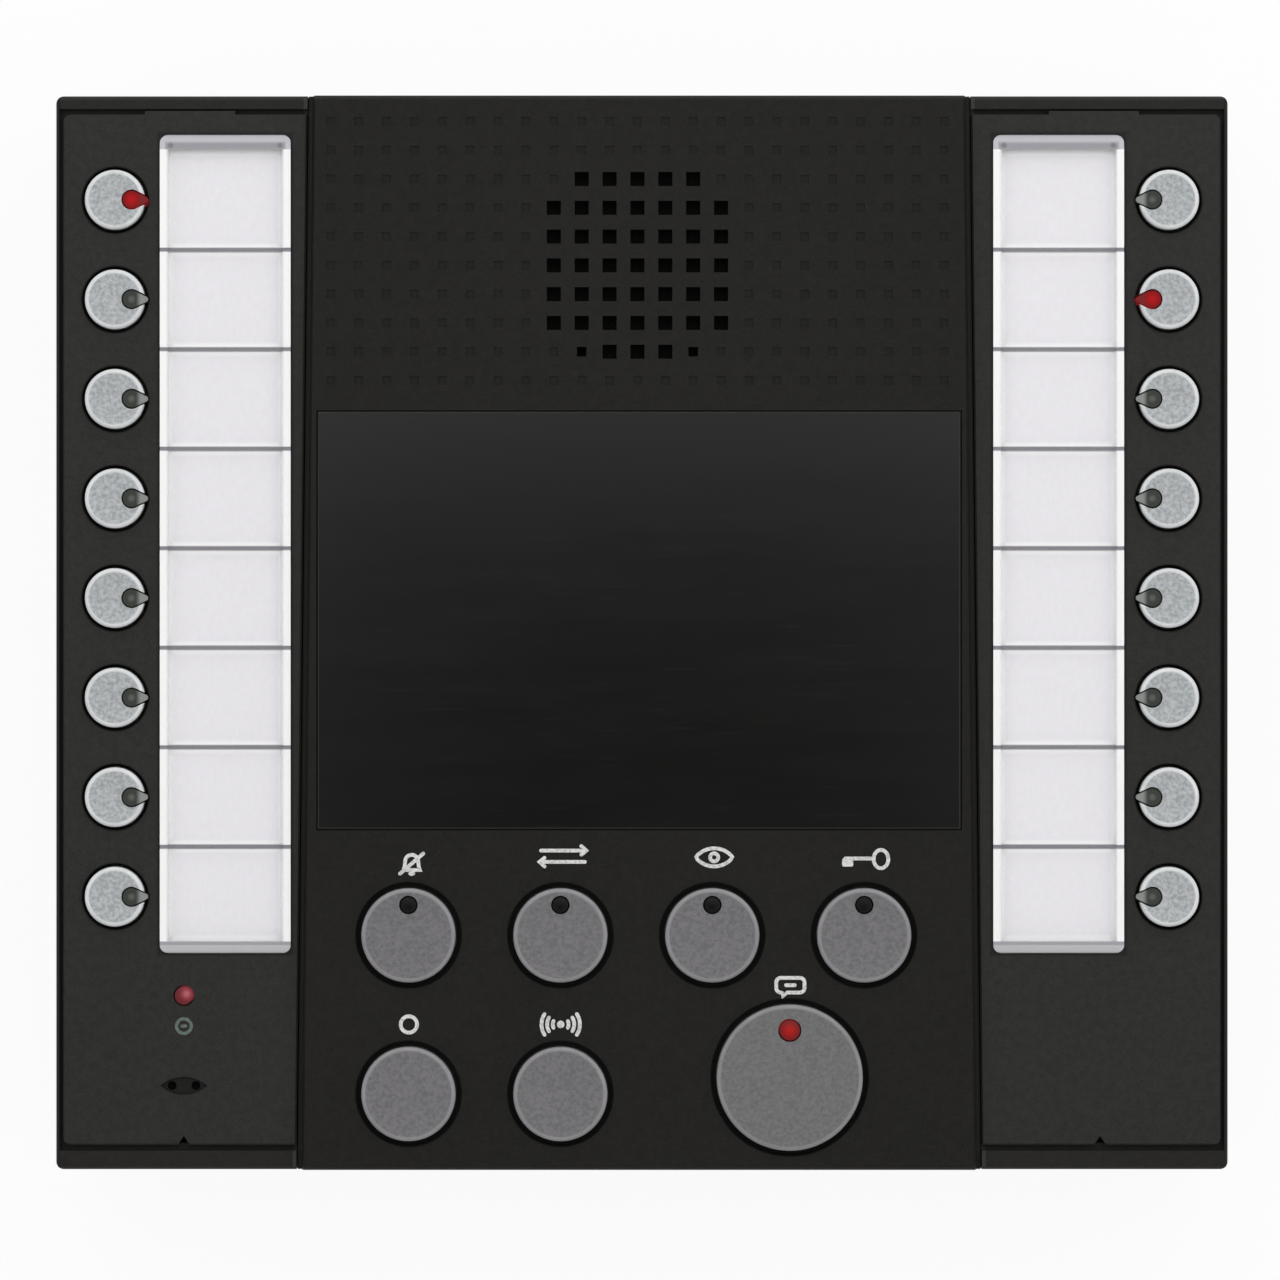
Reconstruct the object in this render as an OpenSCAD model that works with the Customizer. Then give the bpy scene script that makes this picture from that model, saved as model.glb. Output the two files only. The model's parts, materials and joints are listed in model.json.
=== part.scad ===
// Intercom master station: sixteen station keys in two wings, seven keys, a speaker and a microphone.
// It lies on its back on four rubber feet with its face up (+Z) and its top edge toward +Y.
// The origin is the middle of the footprint, on the plane that the feet stand on.

/* [Station keys] */
// Diameter of a station key
station_key_d = 10.6; // [9:0.1:12]
// Distance from one station key to the next down a wing
station_pitch = 17.66; // [16:0.02:20]
// Distance from the top edge of the case to the first station key
station_drop = 18.45; // [16:0.05:22]
// Distance from the last station key to the bottom edge of the case
station_below = 48.43; // [44:0.01:56]
// Distance from the side of the case to the station keys
station_in = 10.5; // [9:0.1:14]
// Height of the station keys above the wing covers
station_proud = 1.5; // [1.2:0.1:2.5]
// Gap round a station key in its wing cover
station_ring = 0.6; // [0.3:0.05:0.9]

/* [Station lights] */
// Radius of the round end of a station light
drop_r = 1.55; // [1.2:0.05:1.8]
// Radius of the pointed end of a station light
drop_tip_r = 0.5; // [0.3:0.05:0.8]
// Distance from the edge of the key in to the middle of the round end
drop_in = 2.3; // [2:0.05:2.8]
// Distance that the pointed end stands out past the edge of the key
drop_nose = 0.6; // [0.3:0.05:0.9]
// Clearance round a light in its key
light_gap = 0.25; // [0.2:0.05:0.4]

/* [Keys of the centre panel] */
// Diameter of a function key
function_key_d = 16.7; // [14:0.1:19]
// Distance from one function key to the next
function_pitch = 26.9; // [24:0.1:30]
// Distance from the outer function keys to the seam beside the centre panel, at the top edge
function_side = 18.5; // [17:0.1:24]
// Sideways place of the key group from the middle of the case
key_group_x = -1; // [-2:0.1:2]
// Distance between the two rows of function keys
row_pitch = 28.1; // [24:0.1:34]
// Distance from the lower function keys to the bottom edge of the case
lower_edge = 5.2; // [4:0.1:8]
// Diameter of the talk key
talk_key_d = 25.9; // [22:0.1:28]
// Distance from the talk key to the bottom edge of the case
talk_edge = 3.5; // [3.2:0.1:6]
// Height of the function and talk keys above the centre panel
function_proud = 1.4; // [1.2:0.1:2.5]
// Gap round a function or talk key in the centre panel
function_ring = 0.85; // [0.4:0.05:1]
// Radius of a function key's light
function_light_r = 1.4; // [1:0.05:1.8]
// Distance of a function key's light above the middle of its key
function_light_up = 5.4; // [4.8:0.1:5.6]
// Radius of the talk key's light
talk_light_r = 1.8; // [1.2:0.05:2.2]
// Distance of the talk key's light above the middle of its key
talk_light_up = 8.4; // [7:0.1:9.4]

/* [All keys] */
// Travel of a key
key_travel = 1; // [0.5:0.1:1.1]
// Width of the flange that keeps a key behind its panel
key_flange = 0.8; // [0.6:0.1:1.2]
// Thickness of that flange
key_flange_t = 1.2; // [0.8:0.1:1.6]
// Clearance round a key in its guide
guide_gap = 0.15; // [0.1:0.05:0.3]
// Wall of a hollow key
key_wall = 1.2; // [0.9:0.1:1.5]
// Thickness of the top of a key
key_top = 1.8; // [1.2:0.1:2.4]
// Radius round the top of a key
key_edge_r = 0.6; // [0.3:0.05:1]
// Depth of the dish in the top of a key
key_dish = 0.25; // [0.1:0.05:0.5]
// Radius of a key's stem
stem_r = 1.6; // [1.2:0.05:1.8]
// Sideways place of a station key's stem, away from its light
stem_off = 2; // [1.8:0.1:2.4]

/* [Case] */
// Depth of the rear case from its back to the parting line
rear_depth = 24; // [20:0.5:32]
// Depth of the front case from the parting line to the face of the wing covers
front_depth = 18.5; // [18:0.5:24]
// Wall of both halves of the case
wall = 2.2; // [1.8:0.1:2.6]
// Thickness of the back
floor_t = 2.4; // [2:0.1:3.2]
// Radius of the upright corners of the case
corner_r = 1.5; // [1:0.1:2]
// Radius along the front edges
front_edge_r = 0.8; // [0.4:0.1:0.9]
// Radius along the back edges
back_edge_r = 3.5; // [2:0.1:4]
// Height of the lip of the rear case inside the front case
lip_h = 2; // [1.5:0.1:3]
// Wall that the front case keeps outside that lip
lip_skin = 1.1; // [0.8:0.1:1.3]
// Clearance of the lip
lip_gap = 0.15; // [0.1:0.05:0.3]
// Height of the groove round the case where its halves meet
joint_h = 0.6; // [0.3:0.05:0.8]
// Depth of that groove
joint_deep = 0.4; // [0.2:0.05:0.5]
// Distance from the sides of the case to the case screws
case_screw_x = 6.2; // [6:0.1:8]
// Distance from the top and bottom edges of the case to the case screws
case_screw_y = 7.2; // [7:0.1:9]
// Radius of a case screw
case_screw_r = 1.5; // [1.2:0.05:1.6]
// Radius of a case screw's head
case_head_r = 2.6; // [2.4:0.05:2.8]
// Thickness of a case screw's head
case_head_t = 2; // [1.6:0.1:2.4]
// Length of a case screw in its boss
case_screw_long = 9; // [6:0.5:10]
// Depth of a case screw's head below the back
case_head_deep = 14; // [10:0.5:16]
// Radius of the boss that a case screw bites into
case_boss_r = 3.2; // [2.8:0.1:3.4]

/* [Wing covers] */
// Thickness of a wing cover
cover_t = 1.6; // [1.2:0.1:2]
// Width of the rim of the case outside a wing cover
rim_t = 0.65; // [0.6:0.05:1]
// Gap between that rim and a wing cover
rim_gap = 0.6; // [0.3:0.05:0.7]
// Gap above the tongue of a wing cover
cover_gap = 0.35; // [0.2:0.05:0.5]
// Gap above and below a wing cover, beside its tongue
cover_end_gap = 1; // [0.7:0.05:1.4]
// Width of the case strip above a wing cover
strip_top = 2.3; // [2:0.05:3]
// Width of the case strip below a wing cover
strip_bottom = 3.35; // [3:0.05:4.5]
// Width of the tongue at the top of a wing cover
tongue_w = 16; // [10:0.5:22]
// Distance from the side of the case to the middle of the tongue
tongue_in = 23.8; // [21:0.1:26]
// Width of the pry notch at the bottom of a wing cover
pry_w = 2.2; // [1.6:0.1:4]
// Height of the pry notch
pry_h = 1.6; // [1.2:0.1:2.5]
// Distance from the side of the case to the pry notch, the microphone and the busy light
cover_mid = 22.7; // [20:0.1:25]
// Width of the ledge under a wing cover
ledge_w = 1.3; // [1:0.1:1.8]
// Depth of the well under a wing cover
well_h = 2.5; // [2:0.1:4]
// Thickness of the deck that guides the station keys
deck_t = 2; // [1.6:0.1:2.6]
// Thickness of the rib under the inner edge of a wing cover
rib_t = 1; // [0.8:0.1:1.2]
// Bevel along the edges of a wing cover
cover_bevel = 0.3; // [0.1:0.05:0.5]

/* [Label strips] */
// Width of a label strip
label_w = 23.2; // [20:0.1:26]
// Distance from the edge of the station keys to the label strips
label_clear = 2.65; // [2.2:0.05:4]
// Distance from the label strips to the seam beside the centre panel, at the top edge
label_seam = 3.5; // [2.8:0.1:5]
// Length of the bevelled end above the first field
label_end_top = 2.75; // [1.5:0.05:3]
// Length of the bevelled end below the last field
label_end_bottom = 1.2; // [1:0.05:3]
// Radius of the corners of a label strip
label_r = 1.4; // [0.8:0.1:2.4]
// Height of a label cover above its wing cover
label_proud = 0.3; // [0.1:0.05:0.6]
// Gap round a label cover
label_gap = 0.12; // [0.08:0.02:0.2]
// Length of the tab that keeps a label cover behind its wing cover
label_tab = 1.2; // [0.8:0.1:1.6]
// Thickness of that tab
label_tab_t = 1; // [0.7:0.1:1.3]
// Wall of a label cover round its card
label_wall = 1.1; // [0.8:0.05:1.3]
// Thickness of a label cover over its card
label_sheet = 1.3; // [1.1:0.05:1.5]
// Thickness of a label card
card_t = 0.4; // [0.2:0.05:0.5]
// Clearance of a label card under its cover
card_gap = 0.1; // [0.05:0.05:0.2]
// Width of the grooves between the fields
divider_w = 0.6; // [0.3:0.05:1]
// Depth of those grooves
divider_deep = 0.2; // [0.1:0.05:0.5]

/* [Centre panel] */
// Sideways place of the centre panel from the middle of the case
centre_x = -0.5; // [-1:0.1:1]
// Height of the centre panel above the wing covers
centre_rise = 2; // [1:0.1:3]
// Thickness of the face of the centre panel
face_t = 2.4; // [2:0.1:3]
// Wall of the centre panel
panel_wall = 2; // [1.6:0.1:2.2]
// Gap between the foot of the centre panel and the seam
panel_gap = 0.35; // [0.2:0.05:0.6]
// Distance that the sides of the centre panel lean in up to its face
panel_lean = 1.1; // [0.6:0.1:1.6]
// Depth of the groove beside the centre panel, from the wing covers down to the panel's skirt
groove_deep = 1.2; // [0.8:0.1:1.5]
// Distance that this skirt stands out past the foot of the centre panel
skirt_out = 0.18; // [0.1:0.02:0.18]
// Distance that the seam spreads outward from the top edge to the bottom edge
seam_spread = 2; // [0:0.1:3]
// Height of the guide collar under the face, round each key
collar_h = 1.2; // [1:0.1:1.3]
// Width of that collar
collar_w = 2; // [1.4:0.1:2.4]
// Shelf of the deck inside the foot of the centre panel
deck_shelf = 0.6; // [0.4:0.1:1.2]

/* [Grille] */
// Side of a grille hole
grille_hole = 2.5; // [1.6:0.1:3]
// Side of the two small holes of the bottom row
grille_small = 1.7; // [1:0.1:2.4]
// Distance from one column of holes to the next
grille_pitch_x = 4.94; // [4.4:0.02:6]
// Distance from one row of holes to the next
grille_pitch_y = 5.1; // [4.4:0.02:6]
// Number of rows and columns of holes
grille_n = 7; // [5:2:7]
// Sideways place of the grille from the middle of the case
grille_x = -0.8; // [-2:0.1:2]
// Side of a dimple
dimple_w = 1.5; // [0.8:0.1:2.4]
// Depth of a dimple
dimple_deep = 0.2; // [0.1:0.05:0.5]

/* [Blank panel] */
// Thickness of the blank panel
blank_t = 2; // [1.4:0.1:2.2]
// Gap round the blank panel
blank_gap = 0.1; // [0.05:0.05:0.6]
// Margin of the centre panel's face beside the blank panel
blank_side = 0.9; // [0.6:0.1:3]
// Bevel along the edges of the blank panel
blank_bevel = 0.3; // [0.2:0.05:1]
// Distance from the speaker to the blank panel
blank_over = 0.8; // [0.6:0.1:4]
// Distance from the upper function keys to the blank panel
blank_under = 10.35; // [9:0.05:14]
// Width of the ledge under the blank panel
blank_ledge = 4; // [3:0.1:6]
// Thickness of that ledge
blank_ledge_t = 1.2; // [0.8:0.1:1.6]

/* [Speaker and microphone] */
// Radius of the speaker
speaker_r = 25; // [22:0.1:27]
// Distance from the speaker to the top edge of the case
speaker_edge = 5.15; // [4.8:0.05:8]
// Depth of the speaker behind its flange
speaker_deep = 15; // [12:0.5:17]
// Thickness of the speaker's flange
speaker_flange_t = 0.8; // [0.6:0.1:1.2]
// Radius of the speaker's magnet
magnet_r = 12.5; // [10:0.1:14]
// Thickness of the grille cloth
cloth_t = 0.5; // [0.3:0.05:0.8]
// Radius of the microphone
mic_r = 3; // [2:0.1:3.4]
// Wall of the microphone's boot
boot_wall = 1.4; // [1:0.1:2]
// Floor of the microphone's boot
boot_floor = 0.4; // [0.3:0.05:0.6]
// Distance from the bottom edge of the case to the microphone
mic_up = 14.85; // [13:0.05:18]
// Length of the dish in front of the microphone
mic_dish_w = 8.4; // [6:0.1:10]
// Height of that dish
mic_dish_h = 3.2; // [2:0.1:4]
// Radius of a sound hole
mic_hole_r = 0.8; // [0.4:0.05:1]
// Distance between the two sound holes
mic_hole_pitch = 4.2; // [3:0.1:4.6]
// Distance from the bottom edge of the case to the busy light
busy_up = 30.85; // [26:0.05:33]
// Radius of the busy light
busy_r = 1.6; // [1:0.05:1.8]

/* [Boards] */
// Distance from the deck down to the boards
board_drop = 7.8; // [7.4:0.1:10]
// Thickness of a board
board_t = 1.6; // [1:0.1:2]
// Gap between a board and the case
board_gap = 0.6; // [0.4:0.1:1]
// Width of a key board
key_board_w = 30; // [27:0.5:34]
// Gap between the boards
board_split = 1.5; // [1:0.1:3]
// Gap between the main board and the speaker
main_board_gap = 4; // [3:0.1:8]
// Gap between a key board and the case bosses
board_boss_gap = 0.8; // [0.5:0.1:1.5]
// Radius of a board boss
board_boss_r = 3; // [2.4:0.1:3.4]
// Distance from the edge of a board to its screws
board_screw_in = 4.4; // [4:0.1:6]
// Radius of a board screw
board_screw_r = 1.2; // [1:0.05:1.4]
// Radius of a board screw's head
board_head_r = 2.3; // [2:0.05:2.6]
// Length of a board screw in its boss
board_screw_long = 5; // [3:0.5:6]
// Thickness of a board screw's head
board_head_t = 1.6; // [1.2:0.1:2]
// Side of a chip under the main board
chip_w = 18; // [12:0.5:20]
// Thickness of a chip
chip_t = 2.6; // [1.6:0.1:4]
// Distance between the two chips
chip_pitch = 30; // [24:0.5:34]
// Distance from the upper edge of the main board to the chips
chip_down = 18; // [17.5:0.5:26]
// Radius of a capacitor
cap_r = 4; // [3:0.1:4.5]
// Height of a capacitor
cap_h = 11; // [8:0.5:12]
// Distance from one capacitor to the next
cap_pitch = 10; // [9.5:0.1:12]
// Distance from the middle of the main board to the first capacitor
cap_x = 30; // [28:0.5:34]
// Distance from the upper edge of the main board to the capacitors
cap_down = 13; // [10:0.5:13]
// Width of the line transformer
coil_w = 20; // [16:0.5:24]
// Length of the line transformer
coil_l = 18; // [14:0.5:22]
// Height of the line transformer
coil_h = 13; // [10:0.5:14]
// Distance from the middle of the main board to the line transformer
coil_x = 32; // [29:0.5:34]
// Distance from the upper edge of the main board to the line transformer
coil_down = 16; // [10:0.5:24]
// Side of a push switch
switch_w = 6; // [5:0.1:6.4]
// Height of a push switch
switch_h = 4; // [3.4:0.1:4.4]
// Height of a key's stem above the board at rest
stem_up = 2; // [1.8:0.1:2.4]
// Clearance round a stem in its switch
stem_gap = 0.1; // [0.05:0.05:0.2]
// Clearance round a screw
screw_gap = 0.1; // [0.05:0.05:0.3]
// Width of a board jumper
jumper_w = 14; // [8:0.5:20]
// Reach of a board jumper to each side of the gap between the boards
jumper_r = 3.5; // [2.5:0.1:4]
// Thickness of a board jumper
jumper_t = 0.4; // [0.2:0.05:0.6]

/* [Volume sliders] */
// Distance from the last station key down to the first slider
slider_below = 12.7; // [12:0.1:16]
// Distance between the two sliders
slider_pitch = 16; // [15:0.1:18]
// Travel of a slider to each side of its middle
slider_travel = 4.5; // [3:0.1:5]
// Length of a slider's knob along its travel
knob_w = 4.4; // [3:0.1:5]
// Height of a slider's knob
knob_h = 6; // [4:0.1:7]
// Thickness of a slider's knob
knob_t = 1; // [0.8:0.1:1.1]
// Depth of the recess that a knob runs in
knob_recess = 1.3; // [1:0.1:1.4]
// Gap round a knob in its recess
knob_gap = 0.5; // [0.3:0.1:0.8]
// Width of a slider's lever
lever_w = 1.6; // [1.2:0.1:2]
// Clearance round a lever
lever_gap = 0.3; // [0.2:0.05:0.5]
// Length of a lever in its potentiometer
lever_in = 2; // [1:0.1:3]
// Width of a potentiometer
pot_w = 8; // [6:0.1:9]
// Height of a potentiometer
pot_h = 4.8; // [4:0.1:5.4]
// Length of a potentiometer past the travel of its lever
pot_end = 2; // [1.6:0.1:2.2]

/* [Back] */
// Height that the feet stand proud of the back
foot_proud = 2; // [1.5:0.1:3]
// Radius of a foot
foot_r = 6.5; // [5:0.1:8]
// Depth of the seat of a foot
foot_seat = 1; // [0.6:0.1:1.4]
// Distance from the sides of the case to the feet
foot_x = 18; // [16:0.5:22]
// Distance from the top and bottom edges of the case to the feet
foot_y = 19; // [17:0.5:24]
// Radius of a keyhole's entry
keyhole_r = 4.5; // [4:0.1:5]
// Radius of a keyhole's slot
keyhole_slot_r = 2.3; // [2:0.1:2.6]
// Length of a keyhole's slot
keyhole_long = 9; // [7:0.5:11]
// Distance between the keyholes across the back
keyhole_x = 120; // [100:1:130]
// Distance between the keyholes up the back
keyhole_y = 83.5; // [80:0.5:90]
// Depth of the closed pocket behind a keyhole
keyhole_pocket = 5; // [4.5:0.1:8]
// Wall of the pockets and of the cable recess
pocket_wall = 1.8; // [1.4:0.1:2.4]
// Room round a keyhole in its pocket
keyhole_room = 1; // [0.6:0.1:2]
// Width of the cable recess
recess_w = 40; // [30:0.5:50]
// Height of the cable recess
recess_h = 48; // [40:0.5:54]
// Depth of the cable recess
recess_deep = 14; // [13:0.1:15]
// Distance from the bottom edge of the case to the cable recess
recess_up = 16; // [12:0.5:20]
// Width of the cable channel to the bottom edge
channel_w = 10; // [7:0.5:14]
// Depth of the cable channel
channel_deep = 8; // [6:0.5:10]

/* [Line jack] */
// Width of the line jack
jack_w = 15.2; // [14:0.1:17]
// Height of the line jack
jack_h = 10.6; // [10:0.1:11]
// Length of the line jack
jack_l = 16; // [14:0.1:20]
// Width of its socket
socket_w = 11.8; // [11:0.1:12.4]
// Height of its socket
socket_h = 6.8; // [6.2:0.1:7.2]
// Depth of its socket
socket_deep = 12; // [10:0.1:13]
// Width of the latch groove of the socket
latch_w = 6.2; // [5:0.1:7]
// Height of the latch groove
latch_h = 1.6; // [1:0.1:1.8]
// Clearance of the jack in the wall of the recess
jack_gap = 0.15; // [0.1:0.05:0.3]

/* [Hidden] */
$fn = 64;
rows = 8;
sides = [-1, 1];

station_r = station_key_d / 2;
function_r = function_key_d / 2;
talk_r = talk_key_d / 2;

label_in = station_in + station_r + label_clear;
wing_w = label_in + label_w + label_seam;
seam_w = 3 * function_pitch + 2 * function_side;
case_w = seam_w + 2 * wing_w;
case_h = station_drop + (rows - 1) * station_pitch + station_below;
half_w = case_w / 2;
half_h = case_h / 2;
far = 400;

back_z = foot_proud;
floor_z = back_z + floor_t;
part_z = back_z + rear_depth;
wing_z = part_z + front_depth;
ledge_z = wing_z - cover_t;
deck_z = ledge_z - well_h;
deck_under = deck_z - deck_t;
centre_z = wing_z + centre_rise;
face_under = centre_z - face_t;
collar_z = face_under - collar_h;
board_top = deck_under - board_drop;
board_under = board_top - board_t;
stem_z = board_top + stem_up;
label_foot = ledge_z - label_tab_t;
label_z = wing_z + label_proud;
station_top = wing_z + station_proud;
function_top = centre_z + function_proud;

station_x = half_w - station_in;
function station_y(row) = half_h - station_drop - row * station_pitch;
function seam_x(y, side) = seam_w / 2 + side * centre_x + seam_spread * (half_h - y) / case_h;
function panel_x(y) = seam_x(y, 0) - panel_gap - panel_lean;

lower_y = -half_h + lower_edge + function_r;
upper_y = lower_y + row_pitch;
talk_y = -half_h + talk_edge + talk_r;
function key_x(column) = key_group_x + (column - 1.5) * function_pitch;
talk_x = key_x(2.51);

speaker_y = half_h - speaker_edge - speaker_r;
blank_top = speaker_y - speaker_r - blank_over;
blank_bottom = upper_y + function_r + blank_under;
blank_half = panel_x(blank_top) - blank_side;
blank_mid = (blank_top + blank_bottom) / 2;
blank_h = blank_top - blank_bottom;

label_x1 = half_w - label_in;
label_x0 = label_x1 - label_w;
label_top = station_y(0) + station_pitch / 2 + label_end_top;
label_bottom = station_y(rows - 1) - station_pitch / 2 - label_end_bottom;
label_h = label_top - label_bottom;
card_in = label_wall + label_gap;
card_z = label_z - label_sheet;
pad_z = card_z - card_gap - card_t;

mic_x = -half_w + cover_mid;
mic_y = -half_h + mic_up;
busy_y = -half_h + busy_up;

case_screw_at = [half_w - case_screw_x, half_h - case_screw_y];
key_board_x1 = half_w - wall - board_gap;
key_board_x0 = key_board_x1 - key_board_w;
key_board_y1 = case_screw_at[1] - case_boss_r - board_boss_gap;
main_board_x = key_board_x0 - board_split;
main_board_y1 = speaker_y - speaker_r - main_board_gap;
main_board_y0 = -half_h + wall + board_gap;
key_screw_x = key_board_x0 + board_screw_in;
key_screw_ys = [station_y(0), station_y((rows - 1) / 2), station_y(rows - 1)];
main_screw_x = main_board_x - board_screw_in;
main_screw_ys = [main_board_y1 - board_screw_in, main_board_y0 + board_screw_in];

slider_z = board_top + pot_h / 2;
function slider_y(k) = station_y(rows - 1) - slider_below - k * slider_pitch;
pot_x1 = key_board_x1;
recess_y0 = -half_h + recess_up;
recess_y1 = recess_y0 + recess_h;
foot_at = [half_w - foot_x, half_h - foot_y];

lit_left = [0];
lit_right = [1];
function is_lit(side, row) = len(search(row, side < 0 ? lit_left : lit_right)) > 0;

charcoal = [0.155, 0.152, 0.145];
wing_grey = [0.185, 0.184, 0.176];
key_grey = [0.66, 0.675, 0.685];
mid_grey = [0.44, 0.435, 0.45];
dark_lens = [0.25, 0.25, 0.26];
red_lens = [0.8, 0.07, 0.08];
board_green = [0.1, 0.3, 0.2];
steel = [0.7, 0.71, 0.72];
black = [0.05, 0.05, 0.05];

plain_keys = ["off_key", "all_call_key"];
lit_keys = ["privacy_key", "transfer_key", "scan_key", "door_key"];

// Draws its children in the right-hand wing's place, mirrored for the left-hand wing.
module on_side(side) {
    mirror([side < 0 ? 1 : 0, 0, 0]) children();
}

// Rectangle about the origin with round corners.
module round_rect(w, h, r) {
    square([w - 2 * r, h], center = true);
    square([w, h - 2 * r], center = true);
    for (x = sides, y = sides) translate([x * (w / 2 - r), y * (h / 2 - r)]) circle(r);
}

// Upright section of a block of width w from z0 to z1, with its lower and upper edges rounded.
module edge_section(w, z0, z1, low_r, high_r) {
    translate([-w / 2, z0 + low_r]) square([w, z1 - z0 - low_r - high_r]);
    translate([-w / 2 + low_r, z0]) square([w - 2 * low_r, (z1 - z0) / 2]);
    translate([-w / 2 + high_r, (z0 + z1) / 2]) square([w - 2 * high_r, (z1 - z0) / 2]);
    for (x = sides) {
        translate([x * (w / 2 - low_r), z0 + low_r]) circle(low_r);
        translate([x * (w / 2 - high_r), z1 - high_r]) circle(high_r);
    }
}

// The whole outside of the case up to the face of the wing covers.
module case_block() {
    intersection() {
        translate([0, 0, back_z]) linear_extrude(wing_z - back_z) round_rect(case_w, case_h, corner_r);
        rotate([90, 0, 0])
            linear_extrude(far, center = true)
                edge_section(case_w, back_z, wing_z, back_edge_r, front_edge_r);
        rotate([90, 0, 90])
            linear_extrude(far, center = true)
                edge_section(case_h, back_z, wing_z, back_edge_r, front_edge_r);
    }
}

// Slab of the whole plan from z0 to z1.
module slab(z0, z1) {
    translate([-far / 2, -far / 2, z0]) cube([far, far, z1 - z0]);
}

// Wedge that bevels an edge along Y at the origin, of a solid that lies at -X and -Z.
module bevel_wedge(c) {
    translate([-c / 2, 0, -c / 2])
        rotate([0, -45, 0])
            translate([0, -far / 2, -2 * c])
                cube([4 * c, far, 4 * c]);
}

// Plan between the two seams, moved in by inset, from y0 to y1.
module seam_plan(inset, y0, y1) {
    polygon([
        [-seam_x(y0, -1) + inset, y0],
        [seam_x(y0, 1) - inset, y0],
        [seam_x(y1, 1) - inset, y1],
        [-seam_x(y1, -1) + inset, y1]
    ]);
}

// Plan of the wing of one side, drawn on the right, from y0 to y1 and from its seam moved out by inset to x1.
module wing_plan(side, inset, x1, y0, y1) {
    polygon([[seam_x(y0, side) + inset, y0], [x1, y0], [x1, y1], [seam_x(y1, side) + inset, y1]]);
}

// Drop-shaped outline of a station light, grown by c, pointing to -X from the middle of its key.
module drop_plan(c) {
    x1 = station_r - drop_in;
    x2 = station_r + drop_nose - drop_tip_r;
    a = asin((drop_r - drop_tip_r) / (x2 - x1));
    r1 = drop_r + c;
    r2 = drop_tip_r + c;
    translate([-x1, 0]) circle(r1);
    translate([-x2, 0]) circle(r2);
    polygon([
        [-x1 - r1 * sin(a), r1 * cos(a)],
        [-x2 - r2 * sin(a), r2 * cos(a)],
        [-x2 - r2 * sin(a), -r2 * cos(a)],
        [-x1 - r1 * sin(a), -r1 * cos(a)],
        [-x1 + r1 / 2, 0]
    ]);
}

// Opening for a station key and its light, with a gap c round the key.
module station_opening(c) {
    circle(station_r + c);
    drop_plan(light_gap);
}

// Places its children at every station key of the right-hand wing.
module at_stations() {
    for (row = [0 : rows - 1]) translate([station_x, station_y(row), 0]) children();
}

// Front case: rim, strips and decks of the two wings, with the bosses that carry the boards.
module front_case() {
    inside_w = case_w - 2 * wall;
    inside_h = case_h - 2 * wall;
    pocket_x = half_w - rim_t;
    pocket_y1 = half_h - strip_top;
    pocket_y0 = -half_h + strip_bottom;
    foot_in = panel_gap + panel_lean + panel_wall + deck_shelf;
    color(charcoal)
        difference() {
            union() {
                difference() {
                    case_block();
                    slab(-1, part_z);
                    translate([0, 0, part_z - 1])
                        linear_extrude(deck_under - part_z + 1) round_rect(inside_w, inside_h, corner_r);
                    translate([0, 0, part_z - 1])
                        linear_extrude(lip_h + lip_gap + 1)
                            round_rect(case_w - 2 * lip_skin, case_h - 2 * lip_skin, corner_r);
                    translate([0, 0, deck_z])
                        linear_extrude(far) seam_plan(0, -half_h - 1, half_h + 1);
                    translate([0, 0, deck_under - 1])
                        linear_extrude(far)
                            seam_plan(foot_in, -half_h + wall + light_gap, half_h - wall - light_gap);
                    for (side = sides) on_side(side) {
                        translate([0, 0, ledge_z])
                            linear_extrude(far) wing_plan(side, -1, pocket_x, pocket_y0, pocket_y1);
                        translate([0, 0, deck_z])
                            linear_extrude(far)
                                wing_plan(
                                    side,
                                    rib_t,
                                    pocket_x - ledge_w,
                                    pocket_y0 + ledge_w,
                                    pocket_y1 - ledge_w
                                );
                    }
                }
                for (side = sides) on_side(side) {
                    translate([label_x0 + card_in, label_bottom + card_in, deck_z - deck_t / 2])
                        cube([label_w - 2 * card_in, label_h - 2 * card_in, pad_z - deck_z + deck_t / 2]);
                    for (y = sides)
                        translate([case_screw_at[0], y * case_screw_at[1], part_z])
                            cylinder(r = case_boss_r, h = deck_z - deck_t / 2 - part_z);
                    for (y = key_screw_ys) translate([key_screw_x, y, board_top]) board_boss();
                    for (y = main_screw_ys) translate([main_screw_x, y, board_top]) board_boss();
                }
            }
            for (side = sides) on_side(side) {
                at_stations()
                    translate([0, 0, deck_under - 1]) linear_extrude(deck_t + 2) station_opening(guide_gap);
                for (y = sides)
                    translate([case_screw_at[0], y * case_screw_at[1], part_z - 1])
                        cylinder(r = case_screw_r + screw_gap, h = deck_under - part_z);
                for (y = key_screw_ys) translate([key_screw_x, y, board_top]) board_pilot();
                for (y = main_screw_ys) translate([main_screw_x, y, board_top]) board_pilot();
            }
            translate([mic_x, busy_y, deck_under - 1]) cylinder(r = busy_r + light_gap, h = deck_t + 2);
            for (k = [0, 1]) translate([half_w, slider_y(k), slider_z]) {
                recess_y = 2 * slider_travel + knob_w + 2 * knob_gap;
                slot_y = 2 * slider_travel + lever_w + 2 * lever_gap;
                translate([-knob_recess, -recess_y / 2, -knob_h / 2 - knob_gap])
                    cube([knob_recess + 1, recess_y, knob_h + 2 * knob_gap]);
                translate([-wall - 1, -slot_y / 2, -lever_w / 2 - lever_gap])
                    cube([wall + 2, slot_y, lever_w + 2 * lever_gap]);
            }
        }
}

// Boss under the deck that a board rests on.
module board_boss() {
    cylinder(r = board_boss_r, h = board_drop + deck_t / 2);
}

// Hole in a board boss for its screw.
module board_pilot() {
    translate([0, 0, -1]) cylinder(r = board_screw_r + screw_gap, h = board_screw_long + 2);
}

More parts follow.
